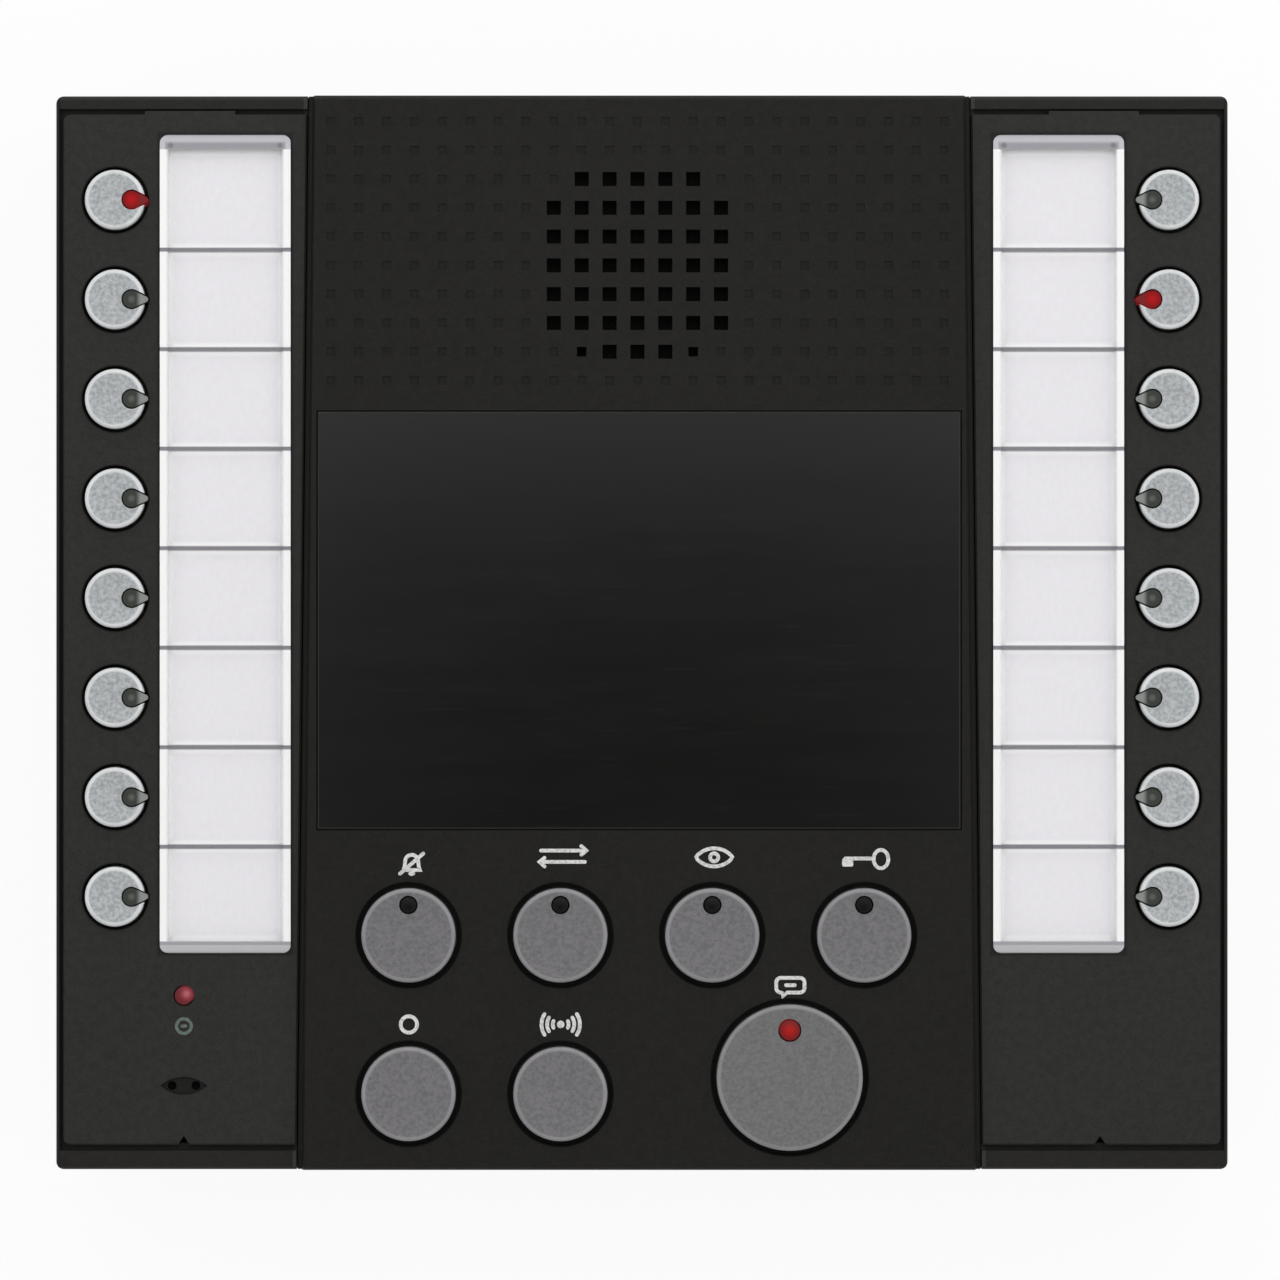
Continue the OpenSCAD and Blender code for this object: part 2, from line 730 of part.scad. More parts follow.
// One key of the centre panel: its middle and its radius.
centre_keys = concat(
    [for (column = [0 : 3]) [key_x(column), upper_y, function_r]],
    [for (column = [0 : 1]) [key_x(column), lower_y, function_r]],
    [[talk_x, talk_y, talk_r]]
);

// Leaning cut along one side of the centre panel.
module panel_side_cut(side) {
    on_side(side)
        translate([(seam_x(half_h, side) + seam_x(-half_h, side)) / 2 - panel_gap, 0, deck_z])
            rotate([0, 0, atan(seam_spread / case_h)])
                rotate([0, -atan(panel_lean / (centre_z - deck_z)), 0])
                    translate([0, -far / 2, -1])
                        cube([20, far, 40]);
}

// True where the grille has a through hole, for column i and row j from its middle.
function in_grille(i, j) = abs(i) <= (grille_n - 1) / 2 && abs(j) <= (grille_n - 1) / 2
    && abs(i) + abs(j) < grille_n - 1;

// Hook that holds the centre panel under the deck.
module panel_hook(side, y) {
    reach = seam_x(y, side) - panel_gap - panel_lean - panel_wall - deck_shelf - guide_gap - 0.4;
    on_side(side) translate([reach, y, 0]) {
        translate([-1.6, -4, deck_under - 1.4]) cube([1.6, 8, face_under - deck_under + 1.9]);
        translate([-1.6, -4, deck_under - 1.4]) cube([1.6 + deck_shelf + 1, 8, 1.4]);
    }
}

// Plan of the skirt round the foot of the centre panel, which closes the groove beside it.
module panel_skirt() {
    inset = panel_gap + panel_lean + 0.7 * panel_wall;
    difference() {
        seam_plan(panel_gap - skirt_out, -half_h, half_h);
        seam_plan(inset, -half_h + 0.7 * panel_wall, half_h - 0.7 * panel_wall);
    }
}

// Centre panel: raised full-height moulding with the grille, the dimples and the key holes.
module centre_panel() {
    columns = floor((panel_x(half_h) - abs(grille_x - centre_x) - dimple_w) / grille_pitch_x);
    rows_up = floor((half_h - speaker_y - front_edge_r - dimple_w) / grille_pitch_y);
    rows_down = floor((speaker_y - blank_top - blank_gap - dimple_w) / grille_pitch_y);
    color(charcoal)
        difference() {
            union() {
                difference() {
                    intersection() {
                        translate([0, 0, deck_z])
                            linear_extrude(centre_z - deck_z) seam_plan(panel_gap - 1, -half_h, half_h);
                        rotate([90, 0, 90])
                            linear_extrude(far, center = true)
                                edge_section(case_h, deck_z - 5, centre_z, 1, front_edge_r);
                    }
                    for (side = sides) panel_side_cut(side);
                    translate([0, 0, deck_z - 1])
                        linear_extrude(face_under - deck_z + 1)
                            seam_plan(
                                panel_gap + panel_lean + panel_wall,
                                -half_h + panel_wall,
                                half_h - panel_wall
                            );
                }
                translate([0, 0, deck_z]) linear_extrude(wing_z - groove_deep - deck_z) panel_skirt();
                translate([0, 0, collar_z])
                    linear_extrude(collar_h + face_t / 2)
                        intersection() {
                            seam_plan(panel_gap + panel_lean + 1, -half_h + 1, half_h - 1);
                            for (key = centre_keys)
                                translate([key[0], key[1]]) circle(key[2] + guide_gap + collar_w);
                        }
                difference() {
                    translate([centre_x, blank_mid, centre_z - blank_t - blank_ledge_t / 2])
                        cube([2 * blank_half + blank_side / 2, blank_h + 4, blank_ledge_t], center = true);
                    translate([grille_x, speaker_y, 0])
                        cylinder(r = speaker_r + lip_gap + 0.3, h = face_under);
                }
                translate([grille_x, speaker_y, face_under - cloth_t - speaker_flange_t])
                    speaker_ring(cloth_t + speaker_flange_t + face_t / 2);
                for (side = sides) for (y = [speaker_y, lower_y]) panel_hook(side, y);
            }
            for (key = centre_keys) translate([key[0], key[1], 0]) {
                translate([0, 0, collar_z - 1]) cylinder(r = key[2] + guide_gap, h = far);
                translate([0, 0, face_under]) cylinder(r = key[2] + function_ring, h = far);
                translate([0, 0, centre_z - 0.4])
                    cylinder(r1 = key[2] + function_ring - 0.1, r2 = key[2] + function_ring + 0.5, h = 0.6);
            }
            translate([centre_x - blank_half - blank_gap, blank_bottom - blank_gap, centre_z - blank_t])
                cube([2 * (blank_half + blank_gap), blank_h + 2 * blank_gap, far]);
            translate([centre_x - blank_half + blank_ledge, blank_bottom + blank_ledge, deck_z])
                cube([2 * (blank_half - blank_ledge), blank_h - 2 * blank_ledge, far]);
            for (i = [-columns : columns], j = [-rows_down : rows_up])
                translate([grille_x + i * grille_pitch_x, speaker_y + j * grille_pitch_y, 0])
                    grille_cell(i, j);
        }
}

// One cell of the grille field: a through hole inside the grille and a dimple outside it.
module grille_cell(i, j) {
    small = j == -(grille_n - 1) / 2 && abs(i) == (grille_n - 3) / 2;
    size = in_grille(i, j) ? (small ? grille_small : grille_hole) : dimple_w;
    from = in_grille(i, j) ? face_under - 1 : centre_z - dimple_deep;
    translate([-size / 2, -size / 2, from]) cube([size, size, far]);
}

// Ring and three hooks that hold the speaker's flange, h high, standing from the face down to the flange.
module speaker_ring(h) {
    inner = speaker_r + lip_gap;
    rotate_extrude() translate([inner, 0]) square([1.4, h]);
    for (a = [90, 210, 330])
        rotate([0, 0, a - 6])
            rotate_extrude(angle = 12) {
                translate([inner + 0.5, -1.2]) square([1.4, h + 1.2]);
                translate([speaker_r - 1, -1.2]) square([2.4, 1.2]);
            }
}

// Blank panel: smooth plate with bevelled edges and four hooks that catch the ledge under it.
module blank_panel() {
    hook_z = centre_z - blank_t - blank_ledge_t;
    color(charcoal * 0.9)
        translate([centre_x, blank_mid, 0]) {
            difference() {
                translate([-blank_half, -blank_h / 2, centre_z - blank_t])
                    cube([2 * blank_half, blank_h, blank_t]);
                for (side = sides) on_side(side)
                    translate([blank_half, 0, centre_z]) bevel_wedge(blank_bevel);
                for (side = sides)
                    translate([0, side * blank_h / 2, centre_z])
                        rotate([0, 0, side * 90]) bevel_wedge(blank_bevel);
            }
            for (side = sides, y = sides) on_side(side) translate([blank_half - blank_ledge, y * 24, 0]) {
                translate([-2.1, -4, hook_z - 1.5]) cube([1.6, 8, blank_t + blank_ledge_t + 0.5]);
                translate([-2.1, -4, hook_z - 1.5]) cube([3.4, 8, 1.4]);
            }
        }
}

// Outline of the wing cover of one side, drawn on the right, with its tongue and its pry notch.
module cover_plan(side) {
    x1 = half_w - rim_t - rim_gap;
    y1 = half_h - strip_top - cover_end_gap;
    y0 = -half_h + strip_bottom + cover_end_gap;
    difference() {
        union() {
            wing_plan(side, 0, x1, y0, y1);
            translate([half_w - tongue_in - tongue_w / 2, y1 - 1])
                square([tongue_w, 1 + cover_end_gap - cover_gap]);
        }
        translate([half_w - cover_mid, y0])
            polygon([[-pry_w / 2, 0], [0, pry_h], [pry_w / 2, 0], [pry_w / 2, -1], [-pry_w / 2, -1]]);
        for (y = [[y0, 1], [y1, -1]]) translate([x1, y[0]]) difference() {
            translate([-corner_r, y[1] > 0 ? -1 : -corner_r]) square(corner_r + 1);
            translate([-corner_r, y[1] * corner_r]) circle(corner_r);
        }
    }
}

// Wing cover: thin plate over the station keys, with the window of the label strip.
module wing_cover(side) {
    x1 = half_w - rim_t - rim_gap;
    y0 = -half_h + strip_bottom + cover_end_gap;
    window = [label_w + 2 * label_gap, label_h + 2 * label_gap];
    color(wing_grey)
        difference() {
            on_side(side) difference() {
                union() {
                    translate([0, 0, ledge_z]) linear_extrude(cover_t) cover_plan(side);
                    translate([x1 - ledge_w - 1.4, y0 + 4, ledge_z - 1])
                        cube([1, case_h - strip_bottom - strip_top - 12, 1.4]);
                }
                at_stations() {
                    translate([0, 0, ledge_z - 2]) linear_extrude(far) station_opening(station_ring);
                    translate([0, 0, wing_z - 0.3])
                        cylinder(
                            r1 = station_r + station_ring - 0.1,
                            r2 = station_r + station_ring + 0.3,
                            h = 0.4
                        );
                }
                translate([(label_x0 + label_x1) / 2, (label_top + label_bottom) / 2, ledge_z - 1])
                    linear_extrude(far) round_rect(window[0], window[1], label_r + label_gap);
                translate([x1, 0, wing_z]) bevel_wedge(cover_bevel);
                translate([0, y0, wing_z]) rotate([0, 0, -90]) bevel_wedge(cover_bevel);
                translate([(seam_x(half_h, side) + seam_x(-half_h, side)) / 2, 0, wing_z])
                    rotate([0, 0, 180 + atan(seam_spread / case_h)])
                        bevel_wedge(cover_bevel);
            }
            if (side < 0) microphone_cuts();
        }
}

// Dish and sound holes of the microphone and the hole of the busy light, in the left-hand wing cover.
module microphone_cuts() {
    bow = (mic_dish_w * mic_dish_w + mic_dish_h * mic_dish_h) / (4 * mic_dish_h);
    translate([mic_x, mic_y, wing_z - 0.5])
        linear_extrude(far)
            intersection() {
                translate([0, mic_dish_h / 2 - bow]) circle(bow);
                translate([0, bow - mic_dish_h / 2]) circle(bow);
            }
    for (x = sides)
        translate([mic_x + x * mic_hole_pitch / 2, mic_y, ledge_z - 1]) cylinder(r = mic_hole_r, h = far);
    translate([mic_x, busy_y, ledge_z - 1]) cylinder(r = busy_r + light_gap, h = far);
}

// Label cover: clear strip with bevelled ends, and a tab at each end under its wing cover.
module label_cover(side) {
    mid = (label_top + label_bottom) / 2;
    ends = [[label_top, label_end_top, 0], [label_bottom, label_end_bottom, 180]];
    color([0.85, 0.85, 0.87, 0.4])
        on_side(side) difference() {
            union() {
                translate([(label_x0 + label_x1) / 2, mid, label_foot])
                    linear_extrude(label_z - label_foot) round_rect(label_w, label_h, label_r);
                translate([label_x0 + label_r, label_bottom - label_tab, label_foot])
                    cube([label_w - 2 * label_r, label_h + 2 * label_tab, label_tab_t]);
            }
            for (end = ends)
                translate([label_x0 + label_w / 2, end[0], wing_z - 0.3])
                    rotate([atan((label_proud + 0.3) / end[1]) * (end[2] > 0 ? 1 : -1), 0, 0])
                        translate([-label_w, end[2] > 0 ? -5 : -10, 0])
                            cube([2 * label_w, 15, 5]);
            for (row = [0 : rows - 2])
                translate([label_x0 - 1, station_y(row + 0.5) - divider_w / 2, label_z - divider_deep])
                    cube([label_w + 2, divider_w, 1]);
            translate([label_x0 + label_wall, label_bottom + label_wall, label_foot - 1])
                cube([label_w - 2 * label_wall, label_h - 2 * label_wall, card_z - label_foot + 1]);
        }
}

// Label card: white card on the pad of its wing, under the label cover.
module label_card(side) {
    color([0.92, 0.92, 0.94])
        on_side(side)
            translate([label_x0 + card_in, label_bottom + card_in, pad_z])
                cube([label_w - 2 * card_in, label_h - 2 * card_in, card_t]);
}

// Key of radius r with its top at top_z and its flange under seat_z, hollow, with a stem moved by off.
module key_body(r, top_z, seat_z, off) {
    rim = r - key_edge_r;
    dish = [for (i = [0 : 10]) [rim * i / 10, top_z - key_dish * (1 - i * i / 100)]];
    difference() {
        rotate_extrude() {
            translate([0, seat_z - key_flange_t]) square([r + key_flange, key_flange_t]);
            translate([0, seat_z - key_flange_t]) square([r, top_z - key_edge_r - seat_z + key_flange_t]);
            difference() {
                union() {
                    translate([0, seat_z]) square([rim, top_z - seat_z]);
                    translate([rim, top_z - key_edge_r]) circle(key_edge_r);
                }
                polygon(concat(dish, [[rim, top_z + 1], [0, top_z + 1]]));
            }
        }
        translate([0, 0, seat_z - key_flange_t - 1])
            cylinder(r = r - key_wall, h = top_z - key_top - seat_z + key_flange_t + 1);
    }
    translate([off, 0, stem_z]) cylinder(r = stem_r, h = top_z - key_top / 2 - key_dish - stem_z);
}

// Station key with the slot for its light.
module station_key(side, row) {
    color(key_grey)
        translate([side * station_x, station_y(row), 0])
            on_side(side)
                difference() {
                    key_body(station_r, station_top, deck_under, stem_off);
                    translate([0, 0, deck_under - far / 2]) linear_extrude(far) drop_plan(light_gap);
                }
}

// Key of the centre panel, with a hole for its light where light_r is above zero.
module centre_key(place, light_r, light_up) {
    color(mid_grey)
        translate([place[0], place[1], 0])
            difference() {
                key_body(place[2], function_top, collar_z, 0);
                if (light_r > 0)
                    translate([0, light_up, collar_z - far / 2]) cylinder(r = light_r + light_gap, h = far);
            }
}

// Lights of the lit station keys, or of those that aren't lit: drop-shaped light pipes on the key boards.
module station_lights(lit) {
    color(lit ? red_lens : dark_lens)
        for (side = sides) for (row = [0 : rows - 1]) if (is_lit(side, row) == lit)
            translate([side * station_x, station_y(row), board_top])
                on_side(side) linear_extrude(station_top - board_top - 0.1) drop_plan(0);
}

// Round light pipe of radius r from z0 to z1 with a domed end.
module light_pipe(r, z0, z1) {
    dome = r / 4;
    dome_r = (r * r + dome * dome) / (2 * dome);
    intersection() {
        translate([0, 0, z0]) cylinder(r = r, h = z1 - z0);
        translate([0, 0, z1 - dome_r]) union() {
            sphere(dome_r);
            translate([0, 0, -far / 2]) cylinder(r = dome_r, h = far / 2);
        }
    }
}

// Lights of the four upper function keys.
module function_lights() {
    color(dark_lens)
        for (column = [0 : 3])
            translate([key_x(column), upper_y + function_light_up, 0])
                light_pipe(function_light_r, board_top, function_top + 0.1);
}

// Light of the talk key.
module talk_light() {
    color(red_lens)
        translate([talk_x, talk_y + talk_light_up, 0])
            light_pipe(talk_light_r, board_top, function_top + 0.2);
}

// Busy light of the left-hand wing.
module busy_light() {
    color(red_lens) translate([mic_x, busy_y, 0]) light_pipe(busy_r, board_top, wing_z + 0.5);
}

// Cloth behind the grille.
module grille_cloth() {
    color(black)
        translate([grille_x, speaker_y, face_under - cloth_t]) cylinder(r = speaker_r - 0.5, h = cloth_t);
}

speaker_z = face_under - cloth_t;
basket_r = speaker_r - 4;
basket_z = speaker_z - speaker_deep * 0.6;

// Speaker frame: flange, open basket and back plate.
module speaker_frame() {
    color(steel)
        translate([grille_x, speaker_y, 0])
            difference() {
                rotate_extrude()
                    polygon([
                        [magnet_r / 2, basket_z],
                        [magnet_r + 1, basket_z],
                        [basket_r + 1, speaker_z - speaker_flange_t],
                        [speaker_r, speaker_z - speaker_flange_t],
                        [speaker_r, speaker_z],
                        [basket_r, speaker_z],
                        [magnet_r, basket_z + 1],
                        [magnet_r / 2, basket_z + 1]
                    ]);
                for (a = [0 : 90 : 270])
                    rotate([0, 0, a + 45])
                        translate([magnet_r + 1.5, -7, basket_z + 1.5])
                            cube([speaker_r, 14, speaker_z - basket_z - 4.5]);
            }
}

// Speaker cone with its roll surround and its dust cap.
module speaker_cone() {
    rim_z = speaker_z - 0.1;
    neck_r = magnet_r / 2;
    neck_z = basket_z + 3.2;
    cap = 2.4;
    cap_r = (neck_r * neck_r + cap * cap) / (2 * cap);
    color(black)
        translate([grille_x, speaker_y, 0]) {
            rotate_extrude() {
                polygon([
                    [neck_r - 0.6, neck_z],
                    [neck_r, neck_z],
                    [basket_r - 3.4, rim_z - 0.5],
                    [basket_r - 0.9, rim_z - 0.5],
                    [basket_r - 0.9, rim_z],
                    [basket_r - 4, rim_z]
                ]);
                translate([neck_r - 0.6, basket_z + 1]) square([0.6, neck_z - basket_z - 1]);
            }
            intersection() {
                translate([0, 0, neck_z + cap - cap_r]) sphere(cap_r);
                translate([0, 0, neck_z]) cylinder(r = neck_r - 0.1, h = cap + 1);
            }
        }
}

// Speaker magnet with its two plates.
module speaker_magnet() {
    deep = speaker_deep * 0.4;
    color([0.35, 0.35, 0.36])
        translate([grille_x, speaker_y, basket_z - deep])
            rotate_extrude() {
                square([magnet_r - 1, deep]);
                translate([0, 1.2]) square([magnet_r, deep - 2.4]);
            }
}

// Microphone capsule.
module microphone() {
    color(steel)
        translate([mic_x, mic_y, deck_z + boot_floor]) cylinder(r = mic_r, h = well_h - boot_floor - 0.1);
}

// Rubber boot of the microphone, between the deck and the wing cover.
module microphone_boot() {
    color(black)
        translate([mic_x, mic_y, deck_z])
            difference() {
                cylinder(r = mic_r + boot_wall, h = well_h);
                translate([0, 0, boot_floor]) cylinder(r = mic_r + guide_gap, h = well_h);
            }
}

// Main board under the centre panel.
module main_board() {
    color(board_green)
        difference() {
            translate([-main_board_x, main_board_y0, board_under])
                cube([2 * main_board_x, main_board_y1 - main_board_y0, board_t]);
            for (side = sides, y = main_screw_ys)
                translate([side * main_screw_x, y, board_under - 1])
                    cylinder(r = board_screw_r + screw_gap, h = board_t + 2);
        }
}

// Key board of one wing.
module key_board(side) {
    color(board_green)
        on_side(side)
            difference() {
                translate([key_board_x0, -key_board_y1, board_under])
                    cube([key_board_w, 2 * key_board_y1, board_t]);
                for (y = key_screw_ys)
                    translate([key_screw_x, y, board_under - 1])
                        cylinder(r = board_screw_r + screw_gap, h = board_t + 2);
            }
}

// Parts under the main board: two chips, three capacitors and the line transformer.
module board_parts() {
    color(black) translate([0, main_board_y1, board_under]) {
        for (side = sides)
            translate([side * chip_pitch / 2 - chip_w / 2, -chip_down - chip_w, -chip_t])
                cube([chip_w, chip_w, chip_t]);
        for (k = [0 : 2])
            translate([-cap_x - k * cap_pitch, -cap_down, -cap_h]) cylinder(r = cap_r, h = cap_h);
        translate([coil_x, -coil_down - coil_l, -coil_h]) cube([coil_w, coil_l, coil_h]);
    }
}

// Flat jumpers between the key boards and the main board.
module board_jumpers() {
    color([0.8, 0.8, 0.82])
        for (side = sides) on_side(side)
            translate([main_board_x + board_split / 2, (main_board_y0 + main_board_y1) / 2, board_under])
                rotate([90, 0, 0])
                    linear_extrude(jumper_w, center = true)
                        intersection() {
                            difference() {
                                circle(jumper_r);
                                circle(jumper_r - jumper_t);
                            }
                            translate([-far / 2, -far]) square(far);
                        }
}

// Screws that hold the boards to their bosses.
module board_screws() {
    color(steel)
        for (side = sides) {
            for (y = key_screw_ys) translate([side * key_screw_x, y, board_under]) board_screw();
            for (y = main_screw_ys) translate([side * main_screw_x, y, board_under]) board_screw();
        }
}

module board_screw() {
    cylinder(r = board_screw_r, h = board_t + board_screw_long);
    translate([0, 0, -board_head_t]) difference() {
        cylinder(r = board_head_r, h = board_head_t);
        cross_slot(board_head_r, board_head_t / 2);
    }
}

// Cross slot in the head of a screw of radius r, deep from its outer face at the origin.
module cross_slot(r, deep) {
    for (a = [0, 90]) rotate([0, 0, a]) translate([-r * 0.6, -0.35, -1]) cube([r * 1.2, 0.7, deep + 1]);
}

// Housing of a push switch, with the bore that a key's stem runs in.
module push_switch() {
    difference() {
        translate([-switch_w / 2, -switch_w / 2, 0]) cube([switch_w, switch_w, switch_h]);
        translate([0, 0, stem_up - key_travel - 0.2]) cylinder(r = stem_r + stem_gap, h = far);
    }
}

// Switches of the station keys.
module station_switches() {
    color(black)
        for (side = sides) on_side(side)
            at_stations() translate([stem_off, 0, board_top]) push_switch();
}

// Switches of the keys in the centre panel.
module function_switches() {
    color(black) for (key = centre_keys) translate([key[0], key[1], board_top]) push_switch();
}

// Slide potentiometers on the right-hand key board.
module volume_pots() {
    long = 2 * (slider_travel + pot_end) + lever_w;
    slot_y = 2 * (slider_travel + lever_gap) + lever_w;
    color(steel)
        for (k = [0, 1]) translate([pot_x1, slider_y(k), slider_z])
            difference() {
                translate([-pot_w, -long / 2, -pot_h / 2]) cube([pot_w, long, pot_h]);
                translate([-lever_in - 1, -slot_y / 2, -lever_w / 2 - lever_gap])
                    cube([lever_in + 2, slot_y, lever_w + 2 * lever_gap]);
            }
}

// Knob of a volume slider with its lever.
module volume_knob(k) {
    face = half_w - knob_recess + (knob_recess - knob_t) / 3;
    color(black)
        translate([0, slider_y(k), slider_z]) {
            difference() {
                translate([face, -knob_w / 2, -knob_h / 2]) cube([knob_t, knob_w, knob_h]);
                for (y = [-1, 0, 1])
                    translate([face + knob_t - 0.3, y * knob_w / 4 - 0.25, -knob_h])
                        cube([1, 0.5, 2 * knob_h]);
            }
            translate([pot_x1 - lever_in, -lever_w / 2, -lever_w / 2])
                cube([face - pot_x1 + lever_in + knob_t / 2, lever_w, lever_w]);
        }
}

// Plan of a keyhole: a round entry with a slot above it, grown by c.
module keyhole_plan(c) {
    circle(keyhole_r + c);
    translate([0, keyhole_long]) circle(keyhole_slot_r + c);
    translate([-keyhole_slot_r - c, 0]) square([2 * (keyhole_slot_r + c), keyhole_long]);
}

// Places its children at the four keyholes.
module at_keyholes() {
    for (x = sides, y = sides) translate([x * keyhole_x / 2, y * keyhole_y / 2, 0]) children();
}

// Closed pocket behind a keyhole, grown by c.
module keyhole_box(c) {
    r = keyhole_r + keyhole_room;
    translate([-r - c, -r - c, 0]) square([2 * (r + c), keyhole_long + 2 * r + 2 * c]);
}

// Rear case: tub with a lip, screw posts, wall-screw keyholes and the cable recess.
module rear_case() {
    lip_w = case_w - 2 * (lip_skin + lip_gap);
    lip_l = case_h - 2 * (lip_skin + lip_gap);
    head_z = back_z + case_head_deep;
    head_r = case_head_r + screw_gap;
    pocket_z = floor_z + keyhole_pocket;
    recess_z = back_z + recess_deep;
    channel_z = back_z + channel_deep;
    color(charcoal)
        difference() {
            union() {
                difference() {
                    union() {
                        intersection() {
                            case_block();
                            slab(0, part_z - joint_h);
                        }
                        translate([0, 0, part_z - joint_h - 1])
                            linear_extrude(joint_h + 1)
                                round_rect(case_w - 2 * joint_deep, case_h - 2 * joint_deep, corner_r);
                        translate([0, 0, part_z - 1])
                            linear_extrude(lip_h + 1) round_rect(lip_w, lip_l, corner_r);
                    }
                    translate([0, 0, floor_z])
                        linear_extrude(far) round_rect(case_w - 2 * wall, case_h - 2 * wall, corner_r);
                }
                intersection() {
                    for (x = sides, y = sides)
                        translate([x * case_screw_at[0], y * case_screw_at[1], floor_z - 1])
                            cylinder(r = head_r + pocket_wall, h = part_z - floor_z + 1);
                    translate([0, 0, back_z])
                        linear_extrude(far) round_rect(case_w - wall, case_h - wall, corner_r);
                }
                translate([0, 0, floor_z - 1])
                    linear_extrude(pocket_z + pocket_wall - floor_z + 1)
                        at_keyholes() keyhole_box(pocket_wall);
                translate([-recess_w / 2 - pocket_wall, recess_y0 - pocket_wall, floor_z - 1])
                    cube([
                        recess_w + 2 * pocket_wall,
                        recess_h + 2 * pocket_wall,
                        recess_z + pocket_wall - floor_z + 1
                    ]);
                translate([-channel_w / 2 - pocket_wall, -half_h + 1, floor_z - 1])
                    cube([channel_w + 2 * pocket_wall, recess_up, channel_z + pocket_wall - floor_z + 1]);
            }
            for (x = sides, y = sides) translate([x * case_screw_at[0], y * case_screw_at[1], 0]) {
                translate([0, 0, -1]) cylinder(r = head_r, h = head_z + 1);
                cylinder(r = case_screw_r + screw_gap, h = part_z + 1);
            }
            at_keyholes() {
                translate([0, 0, -1]) linear_extrude(floor_z + 1.5) keyhole_plan(0);
                translate([0, 0, floor_z]) linear_extrude(keyhole_pocket) keyhole_box(0);
            }
            translate([-recess_w / 2, recess_y0, -1]) cube([recess_w, recess_h, recess_z + 1]);
            translate([-channel_w / 2, -half_h - 1, -1]) cube([channel_w, recess_up + 2, channel_z + 1]);
            translate([-jack_w / 2 - jack_gap, recess_y1 - 1, floor_z])
                cube([jack_w + 2 * jack_gap, pocket_wall + 2, jack_h + jack_gap]);
            for (x = sides, y = sides)
                translate([x * foot_at[0], y * foot_at[1], 0])
                    cylinder(r = foot_r + screw_gap, h = back_z + foot_seat);
        }
}

// Line jack in the end wall of the cable recess, with its socket toward -Y.
module line_jack() {
    mid_z = floor_z + jack_h / 2 - 0.4;
    color([0.85, 0.85, 0.82])
        translate([0, recess_y1, 0])
            difference() {
                translate([-jack_w / 2, 0, floor_z]) cube([jack_w, jack_l, jack_h]);
                translate([-socket_w / 2, -1, mid_z - socket_h / 2])
                    cube([socket_w, socket_deep + 1, socket_h]);
                translate([-latch_w / 2, -1, mid_z + socket_h / 2 - 1])
                    cube([latch_w, socket_deep + 1, latch_h + 1]);
            }
}

// Screws of the case, deep in the posts of the rear case.
module case_screws() {
    head_z = back_z + case_head_deep;
    color(steel)
        for (x = sides, y = sides) translate([x * case_screw_at[0], y * case_screw_at[1], 0]) {
            translate([0, 0, head_z]) cylinder(r = case_screw_r, h = part_z - head_z + case_screw_long);
            translate([0, 0, head_z - case_head_t]) difference() {
                cylinder(r = case_head_r, h = case_head_t);
                cross_slot(case_head_r, case_head_t / 2);
            }
        }
}

// Rubber feet in their seats.
module rubber_feet() {
    color(black)
        for (x = sides, y = sides) translate([x * foot_at[0], y * foot_at[1], 0])
            rotate_extrude() {
                translate([0, 0.6]) square([foot_r, back_z + foot_seat - 0.6]);
                square([foot_r - 0.6, 1]);
                translate([foot_r - 0.6, 0.6]) circle(0.6);
            }
}

front_case();
centre_panel();
rear_case();
blank_panel();
wing_cover(-1);  // left_wing_cover
wing_cover(1);  // right_wing_cover
label_cover(-1);  // left_label_cover
label_cover(1);  // right_label_cover
label_card(-1);  // left_label_card
label_card(1);  // right_label_card
for (row = [1 : rows]) station_key(-1, row - 1);
for (row = [1 : rows]) station_key(1, row - 1);
for (k = [0 : 3]) centre_key(centre_keys[k], function_light_r, function_light_up);
for (k = [0 : 1]) centre_key(centre_keys[4 + k], 0, 0);
centre_key(centre_keys[6], talk_light_r, talk_light_up);  // talk_key
station_lights(true);  // lit_station_lights
station_lights(false);  // unlit_station_lights
function_lights();
talk_light();
busy_light();
grille_cloth();
speaker_frame();
speaker_cone();
speaker_magnet();
microphone();
microphone_boot();
main_board();
key_board(-1);  // left_key_board
key_board(1);  // right_key_board
board_parts();
board_jumpers();
board_screws();
station_switches();
function_switches();
volume_pots();
volume_knob(0);  // call_volume_knob
volume_knob(1);  // chime_volume_knob
line_jack();
case_screws();
rubber_feet();
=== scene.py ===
import json
import math

import bpy
import numpy as np
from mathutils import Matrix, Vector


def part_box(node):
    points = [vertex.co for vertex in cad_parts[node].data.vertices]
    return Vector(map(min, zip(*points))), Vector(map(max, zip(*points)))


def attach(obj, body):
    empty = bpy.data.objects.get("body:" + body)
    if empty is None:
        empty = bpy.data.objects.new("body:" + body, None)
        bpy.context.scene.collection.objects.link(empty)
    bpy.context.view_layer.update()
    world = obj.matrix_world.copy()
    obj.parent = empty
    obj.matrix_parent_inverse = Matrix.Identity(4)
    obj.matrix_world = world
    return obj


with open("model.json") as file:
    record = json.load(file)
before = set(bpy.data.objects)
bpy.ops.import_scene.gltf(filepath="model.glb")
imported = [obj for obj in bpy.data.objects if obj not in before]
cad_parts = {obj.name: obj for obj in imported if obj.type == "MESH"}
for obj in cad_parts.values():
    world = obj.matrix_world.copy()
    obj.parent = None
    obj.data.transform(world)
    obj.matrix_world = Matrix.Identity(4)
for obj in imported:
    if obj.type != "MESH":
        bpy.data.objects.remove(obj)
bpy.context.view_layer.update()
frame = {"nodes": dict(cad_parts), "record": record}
scene = bpy.context.scene
nodes = frame["nodes"]
MM = 0.001

